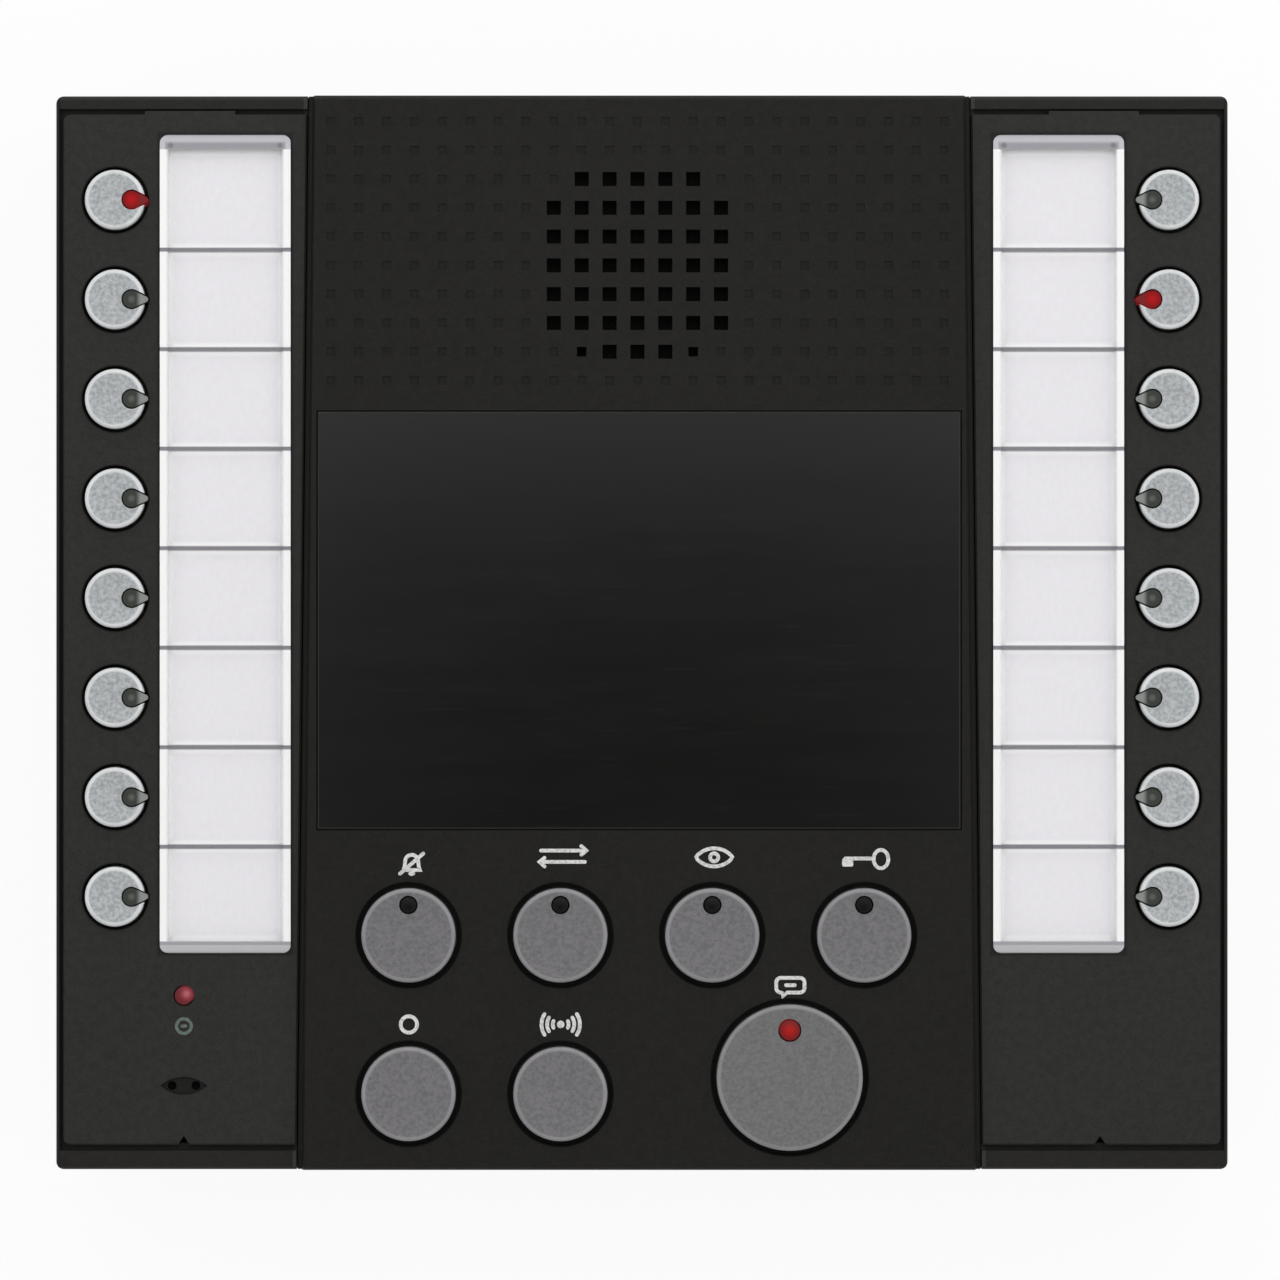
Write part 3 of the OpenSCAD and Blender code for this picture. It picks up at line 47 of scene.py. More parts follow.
# Places on the face, in millimetres: they repeat the part's own values.
WING_Z = 44.5
CENTRE_Z = 46.5
STATION_X, STATION_Y, STATION_PITCH = 93.5, 76.8, 17.66
STATION_COUNT = 8
DROP_X = 90.5
FUNCTION_X, FUNCTION_PITCH = -41.35, 26.9
FUNCTION_Y, FUNCTION_ROWS = -53.6, 28.1
TALK_X, TALK_Y = 26.17, -78.8
STATION_R, FUNCTION_R, TALK_R = 5.3, 8.35, 12.95
FUNCTION_LIGHT_UP, TALK_LIGHT_UP = 5.4, 8.4
LABEL_IN, LABEL_OUT = 62.35, 85.55
LABEL_TOP, LABEL_BOTTOM = 88.38, -56.85
FIELD_TOP, FIELD_BOTTOM = 85.75, -54.75
LABEL_WALL = 1.1
RIM_X = 103.3
HALF_H = 95.25
CENTRE_X = -0.5
SEAM_X, SEAM_SPREAD = 58.9, 2.0
PANEL_FOOT = 1.45
BLANK_BEVEL = 0.3
MIC_X, MIC_Y = -81.3, -80.4
BUSY_Y = -64.4

# Where the patterns of the finishes end, in millimetres.
DIMPLE_REACH = 56.2
MIC_DISH_R = 4.6
LINES_REACH = 57.0
FIELD_MIDDLE_HALF_W = 9.0
SPOT_OUT, SPOT_UP = 9.7, 0.75
# Where the painted highlight on the busy light sits, from its middle.
BUSY_HIGHLIGHT_OUT, BUSY_HIGHLIGHT_UP = 0.5, 0.3

# Printed ink, in millimetres: gap to the face, thickness, steps from stroke to stroke, and widths.
INK_GAP, INK_THICK = 0.005, 0.03
INK_STEP, INK_STEPS = 0.004, 8
PANEL_STROKE, WING_STROKE = 0.66, 0.56

# The studio: the height in metres that the lamps look at, the light of the air, and the camera, with its
# place in millimetres.
LAMP_AIM_Z = 0.04
AIR_LIGHT = 0.1
CAMERA_PLACE = (-0.346, -1.287, 1306.5)
FOCAL_LENGTH, FILM_WIDTH = 200.0, 36.0


def linear(red, green, blue):
    """A screen colour from 0 to 255 as the light that it stands for, by the sRGB curve."""
    c = np.array([red, green, blue]) / 255.0
    c = np.where(c <= 0.04045, c / 12.92, ((c + 0.055) / 1.055) ** 2.4)
    return (float(c[0]), float(c[1]), float(c[2]), 1.0)


# Painted shade, near black, and painted light, a pale grey, that the masks below mix into moulded plastic.
SHADE_PAINT, LIGHT_PAINT = linear(7, 7, 6), linear(54, 53, 49)


class Wire:
    """One output of a node. Sums on wires and numbers add Math nodes to the finish."""

    def __init__(self, finish, socket):
        self.finish, self.socket = finish, socket

    def math(self, operation, *values):
        """A Math node on those values, or on this wire alone."""
        sockets = dict(enumerate(values or (self,)))
        return self.finish.node("ShaderNodeMath", {"operation": operation}, sockets)

    def __add__(self, other):
        return self.math("ADD", self, other)

    def __radd__(self, other):
        return self.math("ADD", other, self)

    def __sub__(self, other):
        return self.math("SUBTRACT", self, other)

    def __rsub__(self, other):
        return self.math("SUBTRACT", other, self)

    def __mul__(self, other):
        return self.math("MULTIPLY", self, other)

    def __rmul__(self, other):
        return self.math("MULTIPLY", other, self)

    def __truediv__(self, other):
        return self.math("DIVIDE", self, other)

    def __pow__(self, other):
        return self.math("POWER", self, other)

    def __abs__(self):
        return self.math("ABSOLUTE", self)

    def over(self, low, high):
        """0 below low, 1 above high, and a smooth step between them."""
        return self.finish.node(
            "ShaderNodeMapRange",
            {"interpolation_type": "SMOOTHSTEP"},
            {"Value": self, "From Min": low, "From Max": high},
        )

    def cell(self, start, pitch):
        """Distance to the nearest place of a row that begins at start and repeats every pitch."""
        off = self - start
        return off - pitch * (off / pitch).math("ROUND")

    def most(self, other):
        """The larger of the two."""
        return self.math("MAXIMUM", self, other)


class Finish:
    """A procedural material. Its patterns lie on Object coordinates, in millimetres."""

    def __init__(self, name):
        self.material = bpy.data.materials.new(name)
        self.material.use_nodes = True
        self.tree = self.material.node_tree
        self.tree.nodes.clear()
        place = self.node("ShaderNodeTexCoord", {}, {}, "Object")
        self.place = self.node("ShaderNodeVectorMath", {"operation": "SCALE"}, {0: place, "Scale": 1 / MM})
        self.x = self.node("ShaderNodeSeparateXYZ", {}, {0: self.place}, "X")
        self.y = Wire(self, self.x.socket.node.outputs["Y"])
        self.z = Wire(self, self.x.socket.node.outputs["Z"])

    def node(self, kind, settings, sockets, out=0):
        """Adds a node: its settings come first, then the values or links of its sockets."""
        made = self.tree.nodes.new(kind)
        for name, value in settings.items():
            setattr(made, name, value)
        for key, value in sockets.items():
            if isinstance(value, Wire):
                self.tree.links.new(value.socket, made.inputs[key])
            else:
                made.inputs[key].default_value = value
        return Wire(self, made.outputs[out]) if made.outputs else None

    def noise(self, per_mm, detail=2.0, stretch=None, rough=0.5):
        """Cloudy noise from 0 to 1 with so many lumps to the millimetre, stretched along the axes."""
        place = self.place
        if stretch:
            place = self.node("ShaderNodeVectorMath", {"operation": "MULTIPLY"}, {0: place, 1: stretch})
        return self.node(
            "ShaderNodeTexNoise",
            {},
            {"Vector": place, "Scale": per_mm, "Detail": detail, "Roughness": rough},
            "Fac",
        )

    def cells(self, per_mm):
        """Distance from the middles of scattered cells."""
        return self.node("ShaderNodeTexVoronoi", {}, {"Vector": self.place, "Scale": per_mm}, "Distance")

    def mix(self, share, first, second):
        """Colour that goes from first to second as share goes from 0 to 1."""
        return self.node("ShaderNodeMix", {"data_type": "RGBA"}, {0: share, 6: first, 7: second}, 2)

    def surface(self, colour, roughness, height=None, depth=0.02, **constants):
        """Ends the finish in one Principled shader, with a bump of that depth in millimetres."""
        sockets = {"Base Color": colour, "Roughness": roughness}
        sockets.update({name.replace("_", " "): value for name, value in constants.items()})
        if height is not None:
            sockets["Normal"] = self.node(
                "ShaderNodeBump", {}, {"Strength": 1.0, "Distance": depth * MM, "Height": height}
            )
        shader = self.node("ShaderNodeBsdfPrincipled", {}, sockets)
        self.node("ShaderNodeOutputMaterial", {}, {"Surface": shader})
        return self.material


def distance(across, up):
    """Length of a step with those two parts."""
    return (across ** 2.0 + up ** 2.0) ** 0.5


def past_box(x, y, low, high):
    """How far a place lies outside the box from corner low to corner high, and below 0 inside it."""
    past_x = abs(x - (low[0] + high[0]) / 2) - (high[0] - low[0]) / 2
    past_y = abs(y - (low[1] + high[1]) / 2) - (high[1] - low[1]) / 2
    return past_x.most(past_y)


def moulded(name, deep, pale, roughness, pitch, relief, shade_mask=None, light_mask=None):
    """Moulded plastic: an eroded grain of that pitch, patches and slow clouds of colour, painted shade
    as shade_mask says and painted light as light_mask says."""
    f = Finish(name)
    grain = f.noise(1 / pitch, 3.0, rough=0.6)
    patch = f.noise(0.7, 2.0)
    cloud = f.noise(0.025, 2.0)
    tone = 0.5 * grain.over(0.3, 0.7) + 0.3 * patch.over(0.3, 0.7) + 0.2 * cloud
    colour = f.mix(tone, deep, pale)
    if shade_mask:
        # Painted shade: darker where the mask puts shade.
        colour = f.mix(shade_mask(f), colour, SHADE_PAINT)
    if light_mask:
        # Painted light: paler where the mask puts light into shade.
        colour = f.mix(light_mask(f), colour, LIGHT_PAINT)
    rough = roughness + 0.16 * (grain - 0.5) + 0.08 * (cloud - 0.5)
    return f.surface(colour, rough, grain, relief, Specular_IOR_Level=0.2)


def shade_in_dimples(f):
    """Painted shade in the dimples, just below the face and between the panel's sides."""
    below = 1 - f.z.over(CENTRE_Z - 0.19, CENTRE_Z - 0.02)
    between = 1 - abs(f.x - CENTRE_X).over(DIMPLE_REACH, DIMPLE_REACH + 0.4)
    return 0.35 * below * between


def inside_seam(f):
    """Distance inward from the seam beside the centre panel, a straight line that lies further out
    toward the bottom edge."""
    return SEAM_X + SEAM_SPREAD * (HALF_H - f.y) / (2 * HALF_H) - abs(f.x - CENTRE_X)


def light_on_panel_sides(f):
    """Painted light: a little paler colour on the leaning sides of the centre panel."""
    return 0.3 * (1 - inside_seam(f).over(PANEL_FOOT - 0.15, PANEL_FOOT))


def light_along_seams(f):
    """Painted light in the gap beside the centre panel, and none on the outer walls."""
    in_gap = 1 - abs(inside_seam(f)).over(0.5, 0.7)
    on_face = 1 - abs(f.y).over(HALF_H - 0.6, HALF_H - 0.3)
    return 0.9 * in_gap * on_face


def shade_on_rim(f):
    """Painted shade on the narrow top of the rim, outside the wing covers."""
    return 0.95 * abs(f.x).over(RIM_X - 0.1, RIM_X) * f.z.over(WING_Z - 0.5, WING_Z - 0.3)


def shade_round_labels(f):
    """Painted shade close round a label strip, by the distance from its long sides and its ends, and in the
    dish of the microphone, by the depth near its middle."""
    past = past_box(abs(f.x), f.y, (LABEL_IN, LABEL_BOTTOM), (LABEL_OUT, LABEL_TOP))
    close = 1 - past.over(0.2, 0.75)
    below = 1 - f.z.over(WING_Z - 0.3, WING_Z - 0.05)
    from_mic = distance(f.x - MIC_X, f.y - MIC_Y)
    dish = below * (1 - from_mic.over(MIC_DISH_R, MIC_DISH_R + 0.2))
    return 0.6 * close.most(1.4 * dish)


def smooth_plate(name, low, high):
    """Smooth plate from corner low to corner high, in metres: hardly any grain, faint wipe marks along X,
    a few hairlines in the gloss, and painted light: the bevel paler, by the distance from the nearest edge."""
    f = Finish(name)
    past = past_box(f.x, f.y, [c / MM for c in low], [c / MM for c in high])
    bevel = past.over(-BLANK_BEVEL - 0.08, -BLANK_BEVEL)
    wipe = f.noise(0.25, 3.0, (0.15, 1.0, 1.0))
    hair = f.noise(2.0, 2.0, (0.05, 1.2, 1.0)).over(0.62, 0.7)
    grain = f.noise(4.0, 1.0)
    colour = f.mix(0.5 * wipe + 0.2 * grain, linear(9, 8, 7), linear(15, 13, 12))
    # Painted light: the bevel paler than the plate.
    colour = f.mix(bevel, colour, linear(33, 32, 30))
    return f.surface(colour, 0.13 + 0.05 * wipe + 0.04 * hair + 0.3 * bevel, grain, 0.002)


def key_plastic(name, u, v, radius, deep, pale, rim):
    """Key: satin plastic, mottled, with a painted highlight in patches round its edge, which is less rough.
    """
    f = Finish(name)
    away = distance(u(f), v(f))
    mottle = f.noise(1.5, 3.0, rough=0.6)
    highlight_patches = f.noise(0.22, 2.0)
    # Painted highlight: a pale ring round the edge of the key, in patches.
    edge = away.over(radius - 0.95, radius - 0.5) * (0.4 + 0.9 * highlight_patches)
    colour = f.mix(edge, f.mix(mottle.over(0.28, 0.72), deep, pale), rim)
    rough = 0.5 - 0.14 * edge + 0.1 * (mottle - 0.5)
    return f.surface(colour, rough, mottle, 0.02, Specular_IOR_Level=0.35)


def from_middle(f):
    """Distance across a label strip from its middle line."""
    return abs(abs(f.x) - (LABEL_IN + LABEL_OUT) / 2)


def between_fields(f, near, far):
    """1 at the lines between the eight fields of a label, and 0 further than far from them."""
    step = abs(f.y.cell(STATION_Y - STATION_PITCH / 2, STATION_PITCH))
    middle = STATION_Y - (STATION_COUNT - 1) / 2 * STATION_PITCH
    return (1 - step.over(near, far)) * (1 - abs(f.y - middle).over(LINES_REACH, LINES_REACH + 1.0))


def clear_cover(name):
    """Clear strip over the label card: a trace of haze, white walls round the card as a painted highlight
    that also hides the shade on the card beside them, two grey bands at each end, a moulded spot near each
    upper corner, and faint grey grooves between the fields."""
    f = Finish(name)
    wall_in = (LABEL_OUT - LABEL_IN) / 2 - LABEL_WALL
    across, down = from_middle(f), -1 * f.y
    top, bottom = FIELD_TOP, -FIELD_BOTTOM
    haze = f.noise(0.8, 3.0)
    # Painted highlight: white, nearly opaque walls round the card.
    wall = across.over(wall_in - 0.65, wall_in + 0.1)
    groove = between_fields(f, 0.22, 0.5)
    end = f.y.over(top - 0.1, top + 0.15).most(down.over(bottom - 0.1, bottom + 0.15))
    outer = f.y.over(top + 0.9, top + 1.7).most(across.over(wall_in - 0.1, wall_in + 0.4))
    upper = f.mix(outer, linear(146, 146, 152), linear(190, 190, 195))
    spot = distance(across - SPOT_OUT, f.y - top - SPOT_UP)
    upper = f.mix(0.7 * (1 - spot.over(0.25, 0.7)), upper, linear(100, 99, 104))
    lower = f.mix(down.over(bottom + 0.5, bottom + 1.0), linear(163, 163, 168), linear(205, 205, 208))
    colour = f.mix(end, linear(255, 255, 255), f.mix(f.y.over(0.0, 1.0), lower, upper))
    colour = f.mix(groove, colour, linear(148, 146, 152))
    alpha = (0.02 * haze).most(0.97 * wall).most(0.95 * end).most(0.4 * groove)
    return f.surface(colour, 0.25 + 0.1 * haze, Alpha=alpha)


def label_card(name):
    """White card: paper fibres, a pale grey middle in each field, a painted highlight of whiter paper round
    it, and a grey line between two fields."""
    f = Finish(name)
    fibre = f.noise(1.8, 4.0, (1.0, 0.35, 1.0))
    # Painted highlight: whiter paper by the long sides, by the lines between fields and by the ends.
    highlight_margin = from_middle(f).over(FIELD_MIDDLE_HALF_W, FIELD_MIDDLE_HALF_W + 0.9)
    highlight_margin = highlight_margin.most(between_fields(f, 0.6, 1.5))
    highlight_margin = highlight_margin.most(f.y.over(FIELD_TOP - 1.4, FIELD_TOP - 0.6))
    highlight_margin = highlight_margin.most((-1 * f.y).over(-FIELD_BOTTOM - 1.4, -FIELD_BOTTOM - 0.6))
    box = f.mix(fibre.over(0.3, 0.7), linear(234, 232, 236), linear(238, 236, 240))
    colour = f.mix(highlight_margin, box, linear(252, 251, 253))
    colour = f.mix(between_fields(f, 0.3, 0.55), colour, linear(142, 140, 146))
    return f.surface(colour, 0.75, fibre, 0.004)


def lamp_lens(name, u, v, outward, core, body, spot, glow=None):
    """Light pipe: its colour goes from core to body as outward goes from 0 to 1, with a painted highlight,
    a soft spot, in the middle of its round end. A lit one glows from its middle, by three colours."""
    f = Finish(name)
    away = distance(u(f), v(f))
    streak = f.noise(1.2, 2.0)
    share = outward(f, away)
    # Painted highlight: the spot colour, a soft glint in the middle of the lens.
    colour = f.mix(0.6 * (1 - away.over(0.2, 0.9)), f.mix(share, core, body), spot)
    lit = {}
    if glow:
        light = f.mix(away.over(0.3, 1.5), glow[0], f.mix(share, glow[1], glow[2]))
        lit = {"Emission_Color": light, "Emission_Strength": 1.0}
    return f.surface(colour, 0.38 + 0.14 * streak, Specular_IOR_Level=0.15, **lit)


def woven(name, thread, deep, pale):
    """Cloth: two sets of threads that pass over and under each other, as a product of two waves."""
    f = Finish(name)
    turn = math.pi / thread
    weave = 0.5 + 0.5 * (turn * f.x).math("SINE") * (turn * f.y).math("SINE")
    fuzz = f.noise(6.0, 2.0)
    colour = f.mix(0.7 * weave + 0.3 * fuzz, deep, pale)
    return f.surface(colour, 0.9, weave, 0.08, Specular_IOR_Level=0.1)


def plain_metal(name, tone, roughness, along):
    """Metal: fine drawn lines along one axis, and slow stains."""
    f = Finish(name)
    lines = f.noise(1.0, 3.0, along)
    stain = f.noise(0.1, 2.0)
    deep = tuple(0.8 * c for c in tone[:3]) + (1.0,)
    colour = f.mix(0.5 * lines + 0.5 * stain, deep, tone)
    return f.surface(colour, roughness + 0.2 * (lines - 0.5), lines, 0.01, Metallic=1.0)


def circuit_board(name):
    """Circuit board: green mask, copper tracks under it along both axes, and tinned pads."""
    f = Finish(name)
    lane_x = f.noise(0.35, 0.0, (0.12, 1.0, 0.0)).over(0.54, 0.56)
    lane_y = f.noise(0.35, 0.0, (1.0, 0.12, 0.0)).over(0.58, 0.6)
    pad = 1 - f.cells(0.22).over(0.16, 0.19)
    track = lane_x.most(lane_y)
    colour = f.mix(track, linear(18, 74, 44), linear(40, 112, 62))
    colour = f.mix(pad, colour, linear(186, 184, 176))
    return f.surface(colour, 0.42 - 0.14 * pad, track.most(pad), 0.03, Coat_Weight=0.3)


def dark_part(name, deep, pale):
    """Moulded inner part: matt, with a fine pebble."""
    f = Finish(name)
    pebble = f.cells(2.2)
    cloud = f.noise(0.12, 2.0)
    return f.surface(f.mix(0.5 * pebble + 0.5 * cloud, deep, pale), 0.6 + 0.15 * cloud, pebble, 0.02)


def ink(name, deep, pale):
    """Printed ink: a little thin in places."""
    f = Finish(name)
    thin = f.noise(2.2, 3.0)
    return f.surface(f.mix(thin.over(0.35, 0.6), deep, pale), 0.5, thin, 0.006)


def ribbon(points, width, closed):
    """A stroke of ink along a path in the plane: each point moves out to both sides along the path's
    normal, by half the width, which shrinks as a half circle at open ends. Returns the left and the right
    edge."""
    p = np.asarray(points, float)
    half = width / 2
    if closed:
        d = np.roll(p, -1, 0) - np.roll(p, 1, 0)
        spread = np.full(len(p), half)
    else:
        leg = np.linalg.norm(np.diff(p, axis=0), axis=1)
        s = np.concatenate([[0.0], np.cumsum(leg)])
        cap = half * (1 - np.cos(np.linspace(0, math.pi / 2, 5)))
        at = np.unique(np.concatenate([cap, s[-1] - cap, s[(s > half) & (s < s[-1] - half)]]))
        p = np.stack([np.interp(at, s, p[:, k]) for k in (0, 1)], 1)
        d = np.gradient(p, at, axis=0)
        end = np.clip(np.minimum(at, s[-1] - at) / half, 0, 1)
        spread = half * np.sqrt(np.clip(1 - (1 - end) ** 2, 0.01, 1))
    n = np.stack([-d[:, 1], d[:, 0]], 1) / np.linalg.norm(d, axis=1)[:, None]
    return p + n * spread[:, None], p - n * spread[:, None]


def printed(name, strokes, z, width):
    """One mesh of all the strokes on a face at height z: each is a strip of quads on top, the same strip
    below, and walls between. The tops of strokes that follow each other lie a little higher in turn, so
    that strokes that cross don't share a plane."""
    vertices, faces, base = [], [], 0
    low = z + INK_GAP
    for count, (points, at, closed) in enumerate(strokes):
        left, right = ribbon(points, width, closed)
        n = len(left)
        for h in (low + INK_THICK + INK_STEP * (count % INK_STEPS), low):
            vertices += [np.column_stack([edge + np.asarray(at), np.full(n, h)]) for edge in (left, right)]
        i = np.arange(n if closed else n - 1)
        j = (i + 1) % n
        lt, rt, lb, rb = (base + k * n for k in range(4))
        faces.append(np.vstack([
            np.column_stack([rt + i, rt + j, lt + j, lt + i]),
            np.column_stack([lb + i, lb + j, rb + j, rb + i]),
            np.column_stack([lt + i, lt + j, lb + j, lb + i]),
            np.column_stack([rb + i, rb + j, rt + j, rt + i]),
        ]))
        if not closed:
            e = n - 1
            faces.append(np.array([[base, lb, rb, rt], [rt + e, rb + e, lb + e, lt + e]]))
        base += 4 * n
    return mesh_piece(name, np.vstack(vertices) * MM, np.vstack(faces))


def mesh_piece(name, vertices, faces):
    """A piece with its place in its mesh."""
    mesh = bpy.data.meshes.new(name)
    mesh.from_pydata(vertices.tolist(), [], faces.tolist())
    mesh.update()
    piece = bpy.data.objects.new(name, mesh)
    scene.collection.objects.link(piece)
    return piece


def arc(x, y, r, start, stop, n=24, squeeze=1.0):
    """Points of a circle's arc about (x, y), in degrees."""
    a = np.radians(np.linspace(start, stop, n))
    return np.column_stack([x + r * np.cos(a), y + squeeze * r * np.sin(a)])


def ring(x, y, r, n=32, squeeze=1.0):
    """Points of a whole circle about (x, y), without the last one twice."""
    return arc(x, y, r, 0, 360 - 360 / n, n, squeeze)


def line(*points):
    """Points of a straight or bent line."""
    return np.array(points, float)


def bell(at):
    """A bell with a bar across it."""
    dome = arc(0, 0.5, 1.15, 180, 0, 16)
    left, right = [[-1.75, -1.05], [-1.25, -0.45]], [[1.25, -0.45], [1.75, -1.05]]
    return [
        (np.vstack([left, dome, right, [0.0, -1.05]]), at, True),
        (arc(0, -1.25, 0.5, 200, 340, 8), at, False),
        (line([-2.3, -1.9], [2.3, 2.1]), at, False),
    ]


def swap_arrows(at):
    """Two arrows one above the other, the upper to the right and the lower to the left."""
    out = []
    for side in (1, -1):
        out += [
            (line([-4.2 * side, 1.0 * side], [4.2 * side, 1.0 * side]), at, False),
            (line([3.0 * side, 2.0 * side], [4.3 * side, 1.0 * side], [3.0 * side, 0.1 * side]), at, False),
        ]
    return out


def eye(at):
    """An eye: two flat arcs and a ring."""
    lids = np.vstack([arc(0, -2.6, 4.2, 140, 40, 20), arc(0, 2.6, 4.2, -40, -140, 20)[1:-1]])
    return [(lids, at, True), (ring(0, 0, 0.72, 18), at, True)]


def plain_key(at):
    """A key: an oval bow, a shaft and a broad bit of strokes that overlap."""
    bow = [(ring(2.75, 0.0, 1.3, 28, 1.25), at, True), (line([1.45, 0.1], [-3.9, 0.1]), at, False)]
    return bow + [(line([x, 0.1], [x, -1.35]), at, False) for x in np.linspace(-3.8, -2.5, 5)]


def empty_ring(at):
    """A plain ring."""
    return [(ring(0, 0, 1.45), at, True)]


def call_waves(at):
    """A spot with waves to both sides."""
    out = [(ring(0, 0, 0.35, 12), at, True)]
    for r in (1.4, 2.4, 3.4):
        out += [(arc(0, 0, r, -38, 38, 12), at, False), (arc(0, 0, r, 142, 218, 12), at, False)]
    return out


def bubble(at):
    """A speech bubble: a rounded box with a tail."""
    box = np.vstack([
        arc(1.7, 0.65, 0.8, 90, 0, 8), arc(1.7, -0.35, 0.8, 0, -90, 8),
        [[-0.6, -1.15], [-1.5, -1.95], [-1.4, -1.15]],
        arc(-1.7, -0.35, 0.8, -90, -180, 8), arc(-1.7, 0.65, 0.8, 180, 90, 8),
    ])
    return [(box, at, True), (line([-1.1, 0.15], [1.1, 0.15]), at, False)]


def barred_ring(at):
    """A ring with a short bar in it."""
    return [(ring(0, 0, 1.3), at, True), (line([-0.6, 0.0], [0.6, 0.0]), at, False)]


def station_u(f):
    """Step across from the middle of a station key."""
    return abs(f.x) - STATION_X


def station_v(f):
    """Step up from the middle of the nearest station key."""
    return f.y.cell(STATION_Y, STATION_PITCH)


def function_u(f):
    """Step across from the middle of the nearest function key."""
    return f.x.cell(FUNCTION_X, FUNCTION_PITCH)


def function_v(f):
    """Step up from the middle of the nearest function key."""
    return f.y.cell(FUNCTION_Y, FUNCTION_ROWS)


def talk_u(f):
    """Step across from the middle of the talk key."""
    return f.x - TALK_X


def drop_u(f):
    """Step across from the middle of a drop's round end."""
    return abs(f.x) - DROP_X


def toward_label(f, away):
    """From the round end of a drop to its nose, which points at the label."""
    return (DROP_X - abs(f.x)).over(0.7, 1.8)


def toward_edge(f, away):
    """From the middle of a round light to its edge."""
    return away.over(0.7, 1.7)


# Finishes of the shell, the labels, the keys, the lights, the inside and the ink.
charcoal = (linear(20, 19, 17), linear(34, 33, 30))
case_plastic = moulded("case_plastic", *charcoal, 0.5, 0.45, 0.03)
front_plastic = moulded("front_plastic", *charcoal, 0.5, 0.45, 0.03, shade_on_rim, light_along_seams)
panel_plastic = moulded(
    "panel_plastic", linear(12, 11, 9), linear(26, 25, 22), 0.5, 0.45, 0.03, shade_in_dimples, light_on_panel_sides,
)
wing_plastic = moulded(
    "wing_plastic", linear(30, 30, 28), linear(45, 45, 43), 0.5, 0.4, 0.025, shade_round_labels,
)
blank_plastic = smooth_plate("blank_plastic", *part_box("blank_panel"))
label_clear = clear_cover("label_clear")
card = label_card("label_card")
# The last colour of each key is its painted highlight round the edge.
station_grey = key_plastic(
    "station_key_grey", station_u, station_v, STATION_R,
    linear(151, 155, 157), linear(189, 193, 195), linear(224, 226, 226),
)
function_grey = key_plastic(
    "function_key_grey", function_u, function_v, FUNCTION_R,
    linear(100, 99, 101), linear(120, 118, 120), linear(144, 142, 144),
)
talk_grey = key_plastic(
    "talk_key_grey", talk_u, lambda f: f.y - TALK_Y, TALK_R,
    linear(99, 99, 100), linear(116, 116, 117), linear(139, 139, 140),
)
# The last colour of each lens is its painted highlight.
unlit_drop = lamp_lens(
    "unlit_drop", drop_u, station_v, toward_label,
    linear(58, 61, 56), linear(138, 141, 139), linear(104, 106, 103),
)
lit_drop = lamp_lens(
    "lit_drop", drop_u, station_v, toward_label, linear(60, 4, 6), linear(64, 18, 18), linear(70, 6, 8),
    (linear(162, 3, 8), linear(114, 6, 10), linear(104, 22, 22)),
)
function_lens = lamp_lens(
    "function_lens", function_u, lambda f: f.y - (FUNCTION_Y + FUNCTION_LIGHT_UP), toward_edge,
    linear(3, 3, 3), linear(7, 7, 7), linear(6, 6, 6),
)
talk_lens = lamp_lens(
    "talk_lens", talk_u, lambda f: f.y - (TALK_Y + TALK_LIGHT_UP), toward_edge,
    linear(60, 8, 8), linear(60, 12, 14), linear(74, 16, 14),
    (linear(156, 16, 12), linear(118, 12, 12), linear(100, 16, 18)),
)
busy_lens = lamp_lens(
    "busy_lens",
    lambda f: f.x - MIC_X - BUSY_HIGHLIGHT_OUT, lambda f: f.y - BUSY_Y - BUSY_HIGHLIGHT_UP, toward_edge,
    linear(60, 20, 24), linear(58, 18, 22), linear(128, 96, 98),
    (linear(132, 52, 60), linear(116, 38, 46), linear(80, 26, 30)),
)
grille_cloth = woven("grille_cloth", 0.5, linear(9, 9, 8), linear(24, 24, 22))
speaker_steel = plain_metal("speaker_steel", (0.55, 0.55, 0.56, 1.0), 0.4, (0.2, 1.0, 1.0))
screw_steel = plain_metal("screw_steel", (0.62, 0.61, 0.58, 1.0), 0.32, (1.0, 1.0, 0.1))
microphone_can = plain_metal("microphone_can", (0.6, 0.6, 0.6, 1.0), 0.35, (1.0, 1.0, 0.2))
jumper_film = plain_metal("jumper_film", (0.6, 0.58, 0.52, 1.0), 0.45, (1.0, 0.05, 1.0))
cone_paper = woven("cone_paper", 0.35, linear(20, 19, 18), linear(38, 36, 34))
board_green = circuit_board("board_green")
magnet_black = dark_part("magnet_black", linear(30, 30, 32), linear(52, 52, 54))
rubber_black = dark_part("rubber_black", linear(18, 18, 18), linear(34, 33, 32))
switch_black = dark_part("switch_black", linear(20, 20, 21), linear(40, 40, 41))
part_black = dark_part("part_black", linear(22, 22, 24), linear(46, 46, 48))
knob_black = dark_part("knob_black", linear(26, 26, 25), linear(44, 44, 42))
jack_plastic = moulded("jack_plastic", linear(196, 194, 184), linear(214, 212, 203), 0.45, 0.6, 0.02)
white_ink = ink("white_ink", linear(186, 186, 184), linear(220, 220, 218))
dull_ink = ink("dull_ink", linear(72, 86, 78), linear(96, 112, 102))

